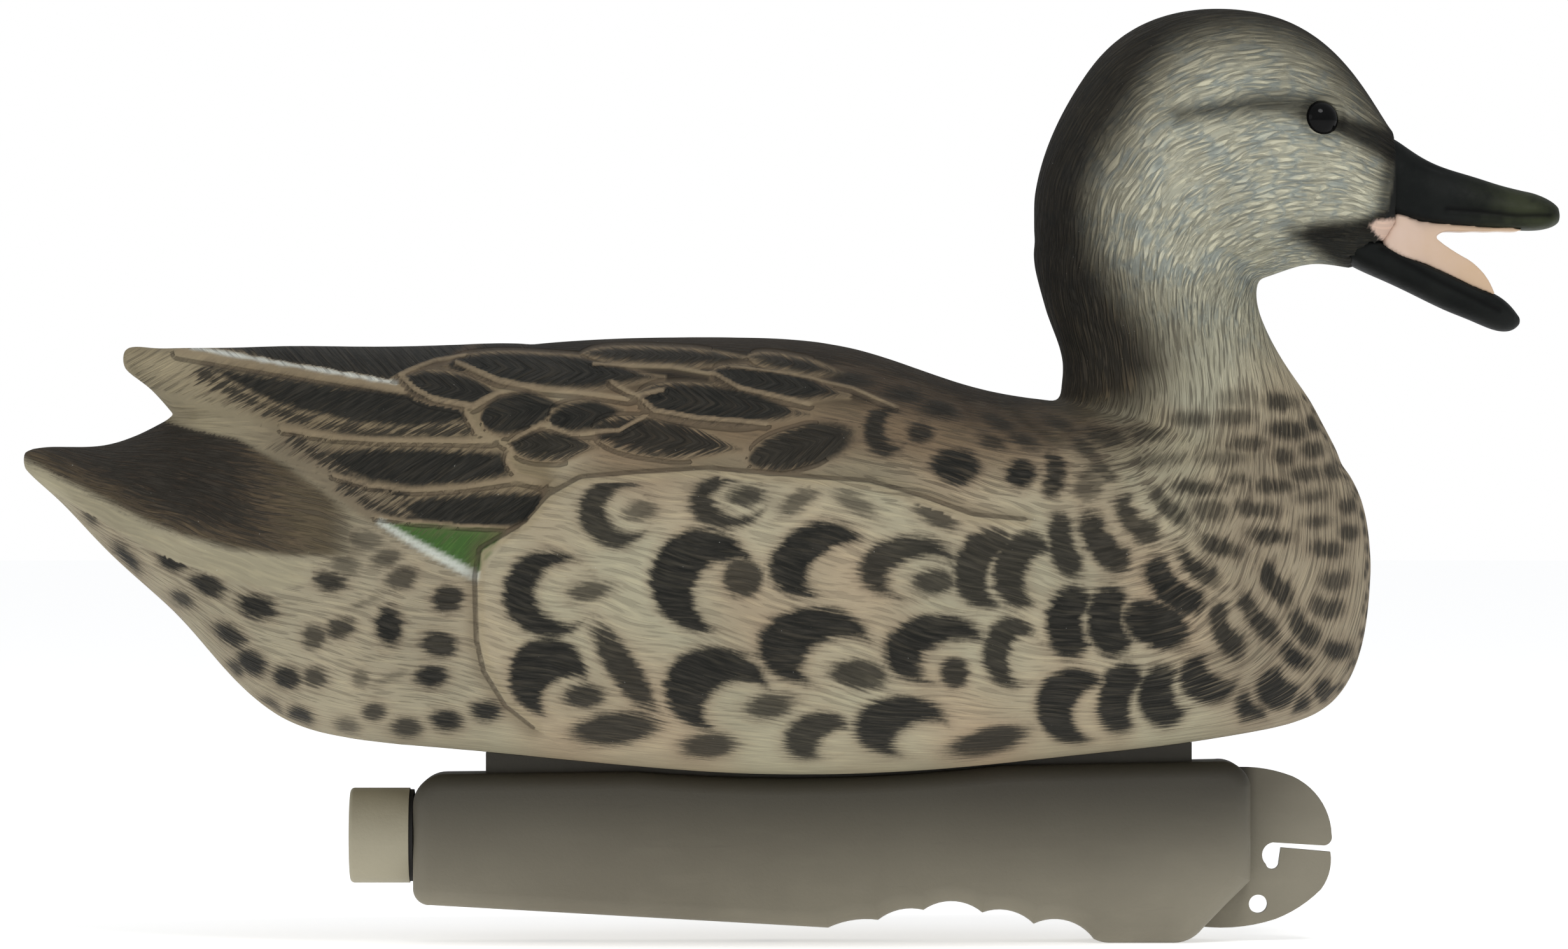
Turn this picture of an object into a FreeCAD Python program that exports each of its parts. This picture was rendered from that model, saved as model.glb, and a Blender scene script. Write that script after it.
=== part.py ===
"""Floating duck decoy: a hollow blow-moulded hull with folded wings and tail, a separate hollow
head with bill, mouth and eyes, and a sand-weighted keel closed by a screw cap.

Frame: +X runs from tail to bill, +Z up, origin under the middle of the decoy at the keel's foot.
Millimetres throughout.
"""
import FreeCAD, Part
import math
import os
import Sketcher
from FreeCAD import Placement, Rotation, Vector

doc = FreeCAD.newDocument("duck_decoy")
sheet = doc.addObject("Spreadsheet::Sheet", "Dimensions")

# Single driving dimensions.
SIZES = {
    # shells
    "hull_wall": 2.0, "head_wall": 2.0,
    # how far tools run past the faces they cut
    "cut_margin": 1.0, "cut_reach": 6.0,
    # neck joint: the plane where the head meets the hull, the collar, the spigot and its seal
    "neck_plane": 128.0, "collar_foot": 96.5, "collar_depth": 11.0, "collar_inset": 3.2,
    "neck_top": 174.9, "neck_hollow_top": 174.0, "neck_bore_rise": 8.0,
    "spigot_gap": 0.2, "spigot_wall": 2.4, "spigot_depth": 9.5,
    "seal_low": 121.5, "seal_high": 124.0, "seal_depth": 1.1,
    # eyes
    "eye_x": 122.4, "eye_y": 16.9, "eye_z": 190.7, "eye_radius": 3.95, "eye_dome": 2.3,
    "eye_rim": 1.1, "eye_socket": 1.2, "eye_stem_radius": 1.5, "eye_stem_length": 5.0,
    "eye_hole": 9.0, "eye_forward": 20.0, "eye_up": 12.0,
    # keel
    "keel_width": 26.0, "keel_round": 3.8, "keel_wall": 2.0, "web_width": 15.0,
    "web_rear": -70.9, "web_front": 92.7, "web_foot": 34.0, "web_height": 50.0,
    "tab_width": 3.2,
    "hole_x": 108.4, "hole_z": 8.6, "hole_radius": 2.15,
    # keel screws, their tunnels and washers
    "tunnel_radius": 5.8, "tunnel_bore": 4.3, "shoulder_z": 27.0, "shank_hole": 2.2,
    "washer_thick": 1.0, "washer_radius": 4.1, "screw_radius": 2.0, "screw_length": 26.0,
    "screw_head_radius": 3.7, "screw_head_height": 2.4, "screw_overlap": 0.5,
    "drive_length": 4.2, "drive_width": 0.9, "drive_depth": 1.4,
    "boss_radius": 5.0, "boss_top": 58.0, "boss_gap": 0.05,
    # ballast
    "ballast_gap": 0.3, "ballast_top": 35.0,
    # fill neck, cap and gasket, all round one axis along X
    "axis_z": 24.55, "keel_rear": -87.7, "fill_length": 12.4, "fill_root": 3.0, "fill_radius": 8.6,
    "fill_bore": 6.8, "thread_pitch": 4.0, "thread_rise": 1.0, "thread_foot": 0.8,
    "thread_crest": 0.4, "thread_bite": 0.25, "thread_height": 6.6, "fill_thread_start": 2.6,
    "cap_rear": -102.6, "cap_rim": -88.75, "cap_radius": 11.05, "cap_inner": 9.95,
    "cap_end_wall": 1.6, "cap_corner": 1.0,
    "gasket_gap": 0.08, "gasket_radius": 10.7, "gasket_bore": 9.75,
    # vent plug
    "vent_x": -96.0, "vent_z": 48.0, "vent_radius": 3.0, "vent_head": 5.0, "vent_flange": 0.9,
    "vent_length": 7.0, "vent_gap": 0.05, "vent_boss": 7.5, "vent_wall": 2.2,
    # mouth insert
    "mouth_width": 11.0,
}

# Stations of the organic lofts. Body, wings, head and bills are cut across X:
# x, half width, height of the widest point, top, bottom, upper and lower roundness.
STATION_FIELDS = ("at", "half", "wide", "top", "low", "upper", "lower")
BODY = (
    (-178.5, 1.8, 111.6, 113.4, 110.2, 2.0, 2.0),
    (-176.5, 5.6, 110.6, 114.3, 107.9, 1.9, 1.9),
    (-171.0, 12.0, 107.0, 114.9, 103.0, 1.6, 1.7),
    (-160.0, 22.5, 100.0, 115.2, 91.6, 1.5, 1.7),
    (-150.0, 30.5, 96.0, 118.6, 82.4, 1.5, 1.8),
    (-142.0, 36.0, 93.5, 122.8, 75.0, 1.55, 1.85),
    (-130.0, 42.8, 91.0, 127.0, 61.4, 1.7, 1.95),
    (-118.0, 48.0, 89.0, 130.0, 51.7, 1.8, 2.05),
    (-104.0, 52.5, 86.5, 132.5, 47.4, 1.9, 2.2),
    (-80.0, 58.5, 83.0, 136.3, 44.8, 2.0, 2.3),
    (-50.0, 63.3, 80.0, 139.5, 42.0, 2.05, 2.4),
    (-15.0, 66.2, 78.0, 140.3, 39.2, 2.05, 2.4),
    (15.0, 66.5, 77.0, 137.5, 39.0, 2.05, 2.4),
    (42.0, 64.6, 76.5, 128.8, 40.7, 2.05, 2.35),
    (66.0, 60.0, 77.0, 125.2, 43.2, 2.0, 2.3),
    (88.0, 52.5, 78.5, 124.0, 45.6, 2.0, 2.25),
    (105.0, 43.0, 80.5, 121.5, 48.2, 2.0, 2.2),
    (118.0, 32.0, 83.0, 117.8, 51.2, 2.0, 2.15),
    (126.5, 21.5, 85.0, 112.2, 56.4, 2.0, 2.1),
    (131.6, 12.8, 86.0, 104.6, 65.4, 2.0, 2.0),
    (134.0, 5.2, 86.8, 95.2, 77.6, 2.0, 2.0),
    (134.6, 1.2, 87.0, 88.8, 85.2, 2.0, 2.0),
)
WINGS = (
    (-155.4, 1.6, 135.3, 136.9, 133.7, 2.0, 2.0),
    (-153.8, 3.4, 134.9, 138.0, 131.8, 2.0, 2.0),
    (-149.5, 6.0, 134.2, 137.9, 128.6, 2.0, 2.0),
    (-143.0, 11.0, 130.5, 137.8, 121.5, 2.0, 2.0),
    (-131.0, 20.5, 124.0, 137.9, 113.0, 2.0, 2.0),
    (-117.0, 32.5, 116.5, 138.3, 104.0, 2.0, 2.0),
    (-104.0, 44.0, 106.0, 138.2, 94.0, 2.05, 2.0),
    (-92.0, 51.8, 98.5, 138.2, 88.0, 2.1, 2.0),
    (-78.0, 56.6, 96.0, 138.6, 86.0, 2.1, 2.0),
    (-58.0, 57.5, 96.0, 138.4, 86.0, 2.1, 2.0),
    (-30.0, 50.0, 98.0, 134.0, 88.0, 2.0, 2.0),
)
HEAD = (
    (56.4, 2.2, 168.5, 172.0, 164.0, 2.0, 2.0),
    (57.6, 7.4, 169.0, 178.6, 159.0, 2.0, 2.0),
    (60.6, 12.4, 170.0, 187.4, 154.5, 2.0, 2.0),
    (66.0, 16.8, 172.0, 197.7, 150.5, 2.0, 2.0),
    (74.0, 20.0, 175.0, 207.9, 148.5, 2.0, 2.0),
    (86.0, 22.0, 178.0, 214.8, 149.0, 2.05, 2.0),
    (99.0, 22.5, 180.0, 216.7, 151.0, 2.1, 2.0),
    (111.0, 21.4, 180.5, 215.2, 154.5, 2.1, 2.05),
    (121.0, 18.9, 180.0, 210.7, 157.3, 2.0, 2.1),
    (129.0, 15.6, 178.5, 203.5, 156.6, 2.0, 2.2),
    (135.0, 12.4, 176.5, 195.3, 158.0, 2.0, 2.2),
    (140.2, 9.4, 175.0, 187.3, 165.0, 2.0, 2.2),
)
UPPER_BILL = (
    (133.0, 6.2, 173.0, 185.0, 169.0, 2.0, 2.6),
    (140.0, 8.0, 172.0, 186.4, 167.9, 2.0, 2.8),
    (144.8, 7.9, 170.6, 183.2, 167.0, 2.0, 3.0),
    (151.5, 7.4, 169.4, 179.8, 166.1, 2.0, 3.0),
    (161.7, 7.5, 168.4, 176.6, 165.4, 2.0, 3.0),
    (170.0, 8.0, 168.0, 174.3, 165.1, 2.0, 3.0),
    (175.0, 7.2, 168.0, 172.6, 165.4, 2.0, 2.6),
    (177.6, 4.6, 168.2, 170.9, 166.4, 2.0, 2.0),
    (178.5, 1.4, 168.4, 169.5, 167.6, 2.0, 2.0),
)
LOWER_BILL = (
    (126.0, 7.4, 162.0, 164.5, 160.0, 2.2, 2.2),
    (133.5, 8.6, 160.6, 164.8, 155.2, 2.6, 2.0),
    (139.4, 7.8, 158.6, 160.9, 152.6, 3.0, 2.0),
    (146.0, 7.2, 155.6, 157.9, 149.4, 3.0, 2.0),
    (154.0, 6.9, 152.2, 154.4, 145.7, 3.0, 2.0),
    (161.5, 6.7, 148.8, 151.2, 142.6, 2.8, 2.0),
    (165.8, 5.4, 146.4, 148.8, 141.6, 2.4, 2.0),
    (168.3, 3.0, 144.7, 146.2, 142.4, 2.0, 2.0),
    (169.3, 0.9, 144.2, 144.8, 143.5, 2.0, 2.0),
)
# Neck stations are cut across Z: z, half width, middle x, front x, rear x, front and rear roundness.
NECK = (
    (96.0, 27.0, 104.0, 127.5, 80.0, 2.0, 2.0),
    (106.0, 27.0, 100.0, 128.2, 74.0, 2.0, 2.0),
    (114.0, 25.6, 96.5, 126.6, 68.0, 2.0, 2.0),
    (121.0, 23.4, 93.5, 123.0, 64.2, 2.0, 2.0),
    (128.0, 21.4, 90.6, 118.9, 62.6, 2.0, 2.0),
    (134.4, 20.0, 88.0, 114.5, 63.0, 2.0, 2.0),
    (141.0, 19.0, 86.0, 110.8, 61.2, 2.0, 2.0),
    (147.4, 18.6, 84.0, 108.4, 58.9, 2.0, 2.0),
    (154.0, 18.9, 83.5, 108.6, 57.1, 2.0, 2.0),
    (160.5, 19.4, 83.5, 110.0, 56.3, 2.0, 2.0),
    (168.0, 18.0, 83.5, 108.0, 59.0, 2.0, 2.0),
    (175.0, 13.0, 83.5, 102.0, 65.0, 2.0, 2.0),
)
# Farther out than any face, for blocks that only limit a height.
FAR = 200.0

LOFTS = {"body": BODY, "wings": WINGS, "head": HEAD, "upperbill": UPPER_BILL,
         "lowerbill": LOWER_BILL, "neck": NECK}
SCREW_STATIONS = (-55.0, -6.0, 80.0)

# Closed outlines in the XZ plane. A third and fourth number give the point that the edge leading
# to this corner passes through, for an arc.
KEEL_OUTLINE = (
    (-80.2, 39.1), (-36.0, 39.6), (48.0, 41.0, 6.0, 38.2), (98.6, 42.0),
    (106.2, 36.4, 104.2, 40.2), (106.2, 14.5), (100.2, 8.6),
    (95.0, 3.2), (88.5, 0.0, 92.2, 0.9), (73.4, 0.0), (69.9, 0.9, 71.4, 0.3),
    (56.0, 4.4, 63.4, 5.2), (44.1, 7.0, 50.6, 7.4), (30.5, 7.6, 37.6, 9.6),
    (20.0, 5.3, 25.8, 7.8), (8.4, 3.5, 14.6, 5.3), (-83.6, 8.7), (-87.7, 12.8, -86.6, 9.8),
    (-87.7, 31.6), (-80.2, 39.1, -85.6, 36.9),
)
CAVITY_OUTLINE = (
    (-78.0, 36.2), (98.0, 36.2), (103.6, 31.0), (103.6, 16.0), (97.4, 10.6), (91.0, 3.6),
    (74.6, 3.6), (56.0, 9.0), (37.6, 12.6), (20.0, 9.2), (8.4, 6.6), (-83.0, 11.8),
    (-85.4, 14.0), (-85.4, 31.0), (-78.0, 36.2),
)
TAB_OUTLINE = (
    (92.0, 39.0), (104.0, 40.4), (116.6, 38.2, 110.6, 39.9), (125.5, 24.6, 122.9, 32.8),
    (123.4, 22.2, 125.1, 22.9), (111.8, 22.9), (110.2, 17.9, 109.5, 21.0),
    (113.2, 18.3, 111.8, 16.7), (113.7, 21.7), (125.2, 20.7), (123.0, 12.0, 125.0, 16.2),
    (112.4, 5.1, 118.4, 8.2), (97.0, 3.2, 104.8, 3.4), (92.0, 3.6), (92.0, 39.0),
)
MOUTH_OUTLINE = (
    (134.6, 165.4), (138.2, 168.6), (148.4, 166.9), (169.4, 165.6), (169.2, 164.9),
    (152.4, 164.8), (149.3, 163.4, 150.4, 164.4), (156.8, 158.4, 152.9, 160.6),
    (163.2, 150.0, 160.9, 154.6), (152.6, 154.2), (139.4, 160.2), (134.6, 165.4),
)
OUTLINES = {"keel": KEEL_OUTLINE, "cavity": CAVITY_OUTLINE, "tab": TAB_OUTLINE,
            "mouth": MOUTH_OUTLINE}


def fill_sheet():
    """Writes every driving number to the sheet as a cell with an alias."""
    cells = dict(SIZES)
    for loft_name, stations in LOFTS.items():
        for number, station in enumerate(stations):
            for field, value in zip(STATION_FIELDS, station):
                cells[f"{loft_name}_{number}_{field}"] = value
    for outline_name, corners in OUTLINES.items():
        for number, corner in enumerate(corners):
            cells[f"{outline_name}_{number}_x"] = corner[0]
            cells[f"{outline_name}_{number}_z"] = corner[1]
    for number, at in enumerate(SCREW_STATIONS):
        cells[f"screw_{number}_x"] = at
    for row, (alias, value) in enumerate(cells.items(), start=1):
        sheet.set(f"A{row}", alias)
        sheet.set(f"B{row}", str(value))
        sheet.setAlias(f"B{row}", alias)
    doc.recompute()


def terms(text):
    """Splits a sum of aliases such as "cap_rear + cap_end_wall" into signed aliases."""
    signed = []
    sign = 1.0
    for word in text.split():
        if word in "+-":
            sign = -1.0 if word == "-" else 1.0
        else:
            signed.append((sign, word))
            sign = 1.0
    return signed


def size(text):
    """Value of a sum of aliases; a bare number in it stands for itself."""
    total = 0.0
    for sign, word in terms(text):
        total += sign * (float(sheet.get(word)) if word[0].isalpha() else float(word))
    return total


def formula(text):
    """The same sum as an expression on the sheet."""
    parts = []
    for sign, word in terms(text):
        name = f"{sheet.Name}.{word}" if word[0].isalpha() else word
        parts.append(("-" if sign < 0 else "+") + name)
    return " ".join(parts)


def bind(item, **sums):
    """Binds properties of a document object to sums of sheet cells."""
    for name, text in sums.items():
        item.setExpression(name.replace("__", "."), formula(text))
    return item


# ---- Organic shells: lofts through closed sections -------------------------------------------

SECTION_POINTS = 24


def signed_power(value, power):
    return math.copysign(abs(value) ** power, value)


def section(name, number, along, inset):
    """Closed spline of one station; along says whether the station lies across X or across Z."""
    field = {key: size(f"{name}_{number}_{key}") for key in STATION_FIELDS}
    points = []
    for step in range(SECTION_POINTS):
        angle = 2 * math.pi * step / SECTION_POINTS
        above = math.sin(angle) >= 0
        reach = field["top"] - field["wide"] if above else field["wide"] - field["low"]
        power = 2 / (field["upper"] if above else field["lower"])
        out = (field["half"] - inset) * signed_power(math.cos(angle), power)
        lift = field["wide"] + (reach - inset) * signed_power(math.sin(angle), power)
        if along == "X":
            points.append(Vector(field["at"], out, lift))
        else:
            points.append(Vector(lift, out, field["at"]))
    curve = Part.BSplineCurve()
    curve.interpolate(points, True)
    return Part.Wire([curve.toShape()])


def loft(name, along="X", inset=0.0, first=0, last=None):
    """Solid through the stations of one table, shrunk by inset all round."""
    numbers = range(len(LOFTS[name]))[first:last]
    return Part.makeLoft([section(name, number, along, inset) for number in numbers], True)


def block(low, high):
    """Box between two corners."""
    return Part.makeBox(high[0] - low[0], high[1] - low[1], high[2] - low[2], Vector(*low))


def neck_slice(inset, low, high):
    """Part of the neck between two heights, shrunk by inset all round."""
    slab = block((-FAR, -FAR, low), (FAR, FAR, high))
    return loft("neck", along="Z", inset=inset).common(slab)


def rod(radius, foot, direction, length):
    return Part.makeCylinder(radius, length, foot, direction)


def feature(label, shape):
    """Document object for a shape made in code."""
    item = doc.addObject("Part::Feature", label)
    item.Label = label
    item.Shape = shape
    item.Placement = Placement()
    return item


def hull_outer():
    """Outside of body, folded wings and neck collar as one solid."""
    plane = size("neck_plane")
    collar = neck_slice(0.0, size("collar_foot"), plane)
    return loft("body").fuse([loft("wings"), collar]).removeSplitter()


def hull_shell(outside):
    """Hollow hull, open at the neck, with bosses for the keel screws and a hole for the plug."""
    wall = size("hull_wall")
    plane = size("neck_plane")
    inside = loft("body", inset=wall, first=3, last=-2)
    inside = inside.fuse(loft("wings", inset=wall, first=3, last=-1))
    bore = neck_slice(size("collar_inset"), plane - size("collar_depth + cut_reach"),
                      plane + size("cut_margin"))
    bosses = []
    pilots = []
    for number in range(len(SCREW_STATIONS)):
        foot = Vector(size(f"screw_{number}_x"), 0, size("web_foot"))
        tall = size("boss_top - web_foot")
        bosses.append(rod(size("boss_radius"), foot, Vector(0, 0, 1), tall).common(outside))
        deep = size("shoulder_z + screw_length + cut_margin - web_foot")
        pilots.append(rod(size("screw_radius + boss_gap"), foot, Vector(0, 0, 1), deep))
    plug_foot = Vector(size("vent_x"), 0, size("vent_z - vent_flange - cut_reach"))
    pad = rod(size("vent_boss"), plug_foot, Vector(0, 0, 1),
              size("vent_flange + cut_reach + vent_wall"))
    bosses.append(pad.common(outside))
    recess = rod(size("vent_head + vent_gap"), plug_foot, Vector(0, 0, 1),
                 size("vent_flange + cut_reach + vent_gap"))
    vent = rod(size("vent_radius + vent_gap"), plug_foot, Vector(0, 0, 1),
               size("vent_flange + cut_reach + vent_length"))
    shell = outside.cut(inside).fuse(bosses)
    return feature("hull_shell", shell.cut([bore, recess, vent] + pilots))


def eye_placement(side):
    """Where an eye's base lies on the head and which way it looks; side is -1 for the right."""
    look = Rotation(Vector(0, 0, 1), side * (90.0 - size("eye_forward")))
    lift = Rotation(Vector(0, 1, 0), 90.0 - size("eye_up"))
    return Placement(Vector(size("eye_x"), side * size("eye_y"), size("eye_z")), look * lift)


def head_shell(upper_bill, lower_bill):
    """Hollow head and neck with a spigot below the neck plane and sockets for eyes and bills."""
    plane = size("neck_plane")
    wall = size("head_wall")
    foot = plane - size("spigot_depth")
    outer_inset = size("collar_inset + spigot_gap")
    inner_inset = outer_inset + size("spigot_wall")
    spigot = neck_slice(outer_inset, foot, plane + size("cut_margin"))
    outside = loft("head").fuse([neck_slice(0.0, plane, size("neck_top")), spigot])
    inside = loft("head", inset=wall, first=3, last=-2)
    bore = neck_slice(inner_inset, foot - size("cut_margin"), plane + size("neck_bore_rise"))
    hollow = neck_slice(wall, plane + size("cut_reach"), size("neck_hollow_top"))
    inside = inside.fuse([hollow, bore])
    groove = neck_slice(size("collar_inset"), size("seal_low"), size("seal_high"))
    groove = groove.cut(neck_slice(outer_inset + size("seal_depth"), foot, plane))
    cuts = [groove, upper_bill, lower_bill]
    for side in (-1, 1):
        socket = rod(size("eye_radius + boss_gap"), Vector(0, 0, -size("eye_socket")),
                     Vector(0, 0, 1), size("eye_socket + cut_reach"))
        stem = rod(size("eye_stem_radius + boss_gap"), Vector(0, 0, -size("eye_hole")),
                   Vector(0, 0, 1), size("eye_hole"))
        for tool in (socket, stem):
            tool.Placement = eye_placement(side)
            cuts.append(tool)
    return feature("head_shell", outside.cut(inside).cut(cuts))


def neck_seal():
    """Rubber band in the spigot's groove."""
    low = size("seal_low + boss_gap")
    high = size("seal_high - boss_gap")
    outer = neck_slice(size("collar_inset + boss_gap"), low, high)
    inner = neck_slice(size("collar_inset + spigot_gap + seal_depth - boss_gap"), low, high)
    return feature("neck_seal", outer.cut(inner))


# ---- Sketched pieces ------------------------------------------------------------------------

def arc_through(start, middle, end):
    """Counter-clockwise arc over three points, and whether it starts at the first of them."""
    centre = Part.Circle(start, middle, end).Center
    bow = (middle - start).cross(end - middle).z
    first, last = (start, end) if bow > 0 else (end, start)
    angles = [math.atan2(spot.y - centre.y, spot.x - centre.x) for spot in (first, last)]
    if angles[1] < angles[0]:
        angles[1] += 2 * math.pi
    circle = Part.Circle(centre, Vector(0, 0, 1), start.distanceToPoint(centre))
    return Part.ArcOfCircle(circle, *angles), bow > 0


def draw(sketch, corners):
    """Draws a closed outline of lines and arcs whose corners are bound to the sheet.

    A corner is two sums of aliases; a third entry is the point that the edge leading to it
    passes through.
    """
    spots = [Vector(size(corner[0]), size(corner[1]), 0) for corner in corners]
    count = len(corners)
    ends = []
    for number in range(count):
        following = (number + 1) % count
        ends.append((1, 2))
        edge = Part.LineSegment(spots[number], spots[following])
        if len(corners[following]) > 2:
            middle = Vector(*corners[following][2], 0)
            edge, forward = arc_through(spots[number], middle, spots[following])
            ends[number] = (1, 2) if forward else (2, 1)
        sketch.addGeometry(edge)
    for number in range(count):
        following = (number + 1) % count
        sketch.addConstraint(Sketcher.Constraint(
            "Coincident", number, ends[number][1], following, ends[following][0]))
        for kind, text, value in (("DistanceX", corners[number][0], spots[number].x),
                                  ("DistanceY", corners[number][1], spots[number].y)):
            place = sketch.addConstraint(Sketcher.Constraint(
                kind, -1, 1, number, ends[number][0], value))
            sketch.setExpression(f"Constraints[{place}]", formula(text))
        if len(corners[following]) > 2:
            radius = sketch.Geometry[number].Radius
            sketch.addConstraint(Sketcher.Constraint("Radius", number, radius))


def table_corners(name):
    """Corners of one outline table as aliases, without its repeated last corner."""
    table = OUTLINES[name]
    corners = []
    for number in range(1, len(table)):
        corner = [f"{name}_{number}_x", f"{name}_{number}_z"]
        if len(table[number]) > 2:
            corner.append(table[number][2:])
        corners.append(tuple(corner))
    return corners


def slab_of(name, width):
    """Outline table pushed out to both sides of the middle plane."""
    sketch = doc.addObject("Sketcher::SketchObject", f"{name}_outline")
    sketch.Placement = Placement(Vector(), Rotation(Vector(1, 0, 0), 90))
    draw(sketch, table_corners(name))
    slab = doc.addObject("Part::Extrusion", f"{name}_slab")
    slab.Base = sketch
    slab.DirMode = "Normal"
    slab.Solid = True
    slab.Symmetric = True
    return bind(slab, LengthFwd=width)


def turned(label, corners, axis):
    """PartDesign body turned about X or Z: corners give the place along the axis and radius."""
    body = doc.addObject("PartDesign::Body", label)
    body.Label = label
    sketch = body.newObject("Sketcher::SketchObject", f"{label}_profile")
    plane = next(item for item in body.Origin.OriginFeatures if item.Role == "XZ_Plane")
    sketch.AttachmentSupport = [(plane, "")]
    sketch.MapMode = "FlatFace"
    doc.recompute()
    if axis == "Z":
        corners = [(out, along, *mid) for along, out, *mid in corners]
    draw(sketch, corners)
    turn = body.newObject("PartDesign::Revolution", f"{label}_turn")
    turn.Profile = sketch
    turn.ReferenceAxis = (sketch, ["H_Axis" if axis == "X" else "V_Axis"])
    turn.Angle = 360.0
    return body


def eye(label, side):
    """Glossy dome with a rim that sits in the head's socket and a stem behind it."""
    radius = size("eye_radius")
    dome = size("eye_dome")
    ball = (radius ** 2 + dome ** 2) / (2 * dome)
    half_angle = math.asin(radius / ball) / 2
    middle = (ball * math.sin(half_angle), dome - ball + ball * math.cos(half_angle))
    body = turned(label, [
        ("- eye_stem_length", "0"), ("- eye_stem_length", "eye_stem_radius"),
        ("- eye_rim", "eye_stem_radius"), ("- eye_rim", "eye_radius"), ("0", "eye_radius"),
        ("eye_dome", "0", middle)], "Z")
    body.Placement = eye_placement(side)
    return body


def fuse(label, *pieces):
    item = doc.addObject("Part::MultiFuse", label)
    item.Label = label
    item.Shapes = list(pieces)
    return item


def cut(label, base, tool):
    item = doc.addObject("Part::Cut", label)
    item.Label = label
    item.Base = base
    item.Tool = tool
    return item


def cylinder(name, radius, height, **places):
    """Upright cylinder bound to the sheet; places are sums for its foot's x, y and z."""
    item = doc.addObject("Part::Cylinder", name)
    bind(item, Radius=radius, Height=height)
    return bind(item, **{f"Placement__Base__{axis}": text for axis, text in places.items()})


def lying(item):
    """Turns an upright cylinder so that it runs along -X from its foot."""
    item.Placement = Placement(item.Placement.Base, Rotation(Vector(0, 1, 0), -90))
    return item


def screw_set(name, radius, height, foot):
    """One upright cylinder at every screw station, as a group."""
    return [cylinder(f"{name}_{number}", radius, height, x=f"screw_{number}_x", z=foot)
            for number in range(len(SCREW_STATIONS))]


def thread(name, root, rise, start, phase):
    """Right-hand helical ridge about the cap's axis, running to -X; rise below 0 points in."""
    pitch = size("thread_pitch")
    helix = Part.makeHelix(pitch, size("thread_height"), root)
    bite = math.copysign(size("thread_bite"), rise)
    foot = size("thread_foot")
    crest = size("thread_crest")
    ridge = [Vector(root - bite, 0, -foot), Vector(root, 0, -foot), Vector(root + rise, 0, -crest),
             Vector(root + rise, 0, crest), Vector(root, 0, foot), Vector(root - bite, 0, foot)]
    profile = Part.makePolygon(ridge + ridge[:1])
    solid = Part.Solid(Part.Wire(helix).makePipeShell([profile], True, True))
    item = doc.addObject("Part::Feature", name)
    item.Shape = solid
    turn = Rotation(Vector(0, 1, 0), -90) * Rotation(Vector(0, 0, 1), phase)
    item.Placement = Placement(Vector(start, 0, size("axis_z")), turn)
    return item


def keel_shell(outside):
    """Hollow keel with its web, screw tunnels, front tab and threaded fill neck."""
    slab = slab_of("keel", "keel_width")
    doc.recompute()
    body = doc.addObject("Part::Fillet", "keel_body")
    body.Base = slab
    radius = size("keel_round")
    body.Edges = [(number, radius, radius) for number, edge in enumerate(slab.Shape.Edges, start=1)
                  if edge.BoundBox.YLength < radius / 2]
    web = doc.addObject("Part::Box", "web_block")
    bind(web, Length="web_front - web_rear", Width="web_width", Height="web_height - web_foot",
         Placement__Base__x="web_rear", Placement__Base__z="web_foot")
    web.setExpression("Placement.Base.y", f"-{sheet.Name}.web_width / 2")
    belly = feature("hull_outside", outside)
    belly.Placement = Placement(Vector(0, 0, -size("boss_gap")), Rotation())
    web = cut("web", web, belly)
    tab = slab_of("tab", "tab_width")
    neck = lying(cylinder("fill_neck", "fill_radius", "fill_length + fill_root",
                          x="keel_rear + fill_root", z="axis_z"))
    ridge = thread("neck_thread", size("fill_radius"), size("thread_rise"),
                   size("keel_rear - fill_thread_start"), 0.0)
    solid = fuse("keel_solid", body, web, tab, neck, ridge)

    tunnels = fuse("tunnels", *screw_set("tunnel", "tunnel_radius", "web_height", "0"))
    hollow = cut("keel_hollow", slab_of("cavity", "keel_width - keel_wall - keel_wall"), tunnels)
    bores = screw_set("tunnel_bore", "tunnel_bore", "shoulder_z + cut_reach", "- cut_reach")
    shanks = screw_set("shank_hole", "shank_hole", "web_height", "0")
    mouth = lying(cylinder("fill_bore", "fill_bore", "fill_length + cut_reach + cut_margin",
                           x="keel_rear + cut_reach", z="axis_z"))
    line = doc.addObject("Part::Cylinder", "line_hole")
    bind(line, Radius="hole_radius", Height="keel_width",
         Placement__Base__x="hole_x", Placement__Base__z="hole_z")
    line.Placement = Placement(Vector(0, size("keel_width") / 2, 0),
                               Rotation(Vector(1, 0, 0), 90))
    voids = fuse("keel_voids", hollow, *bores, *shanks, mouth, line)
    return cut("keel_shell", solid, voids)


def keel_ballast():
    """Sand that fills the keel's hollow up to a level, clear of walls and screw tunnels."""
    sand = slab_of("cavity", "keel_width - keel_wall - keel_wall - ballast_gap - ballast_gap")
    doc.recompute()
    gap = size("ballast_gap")
    face = Part.Face(sand.Base.Shape.Wires[0]).makeOffset2D(-gap)
    face.translate(Vector(0, -sand.LengthFwd.Value / 2, 0))
    grown = face.extrude(Vector(0, sand.LengthFwd.Value, 0))
    level = block((-FAR, -FAR, 0.0), (FAR, FAR, size("ballast_top")))
    posts = [rod(size("tunnel_radius + ballast_gap"), Vector(size(f"screw_{number}_x"), 0, 0),
                 Vector(0, 0, 1), size("web_height")) for number in range(len(SCREW_STATIONS))]
    return feature("keel_ballast", grown.common(level).cut(posts))


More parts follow.
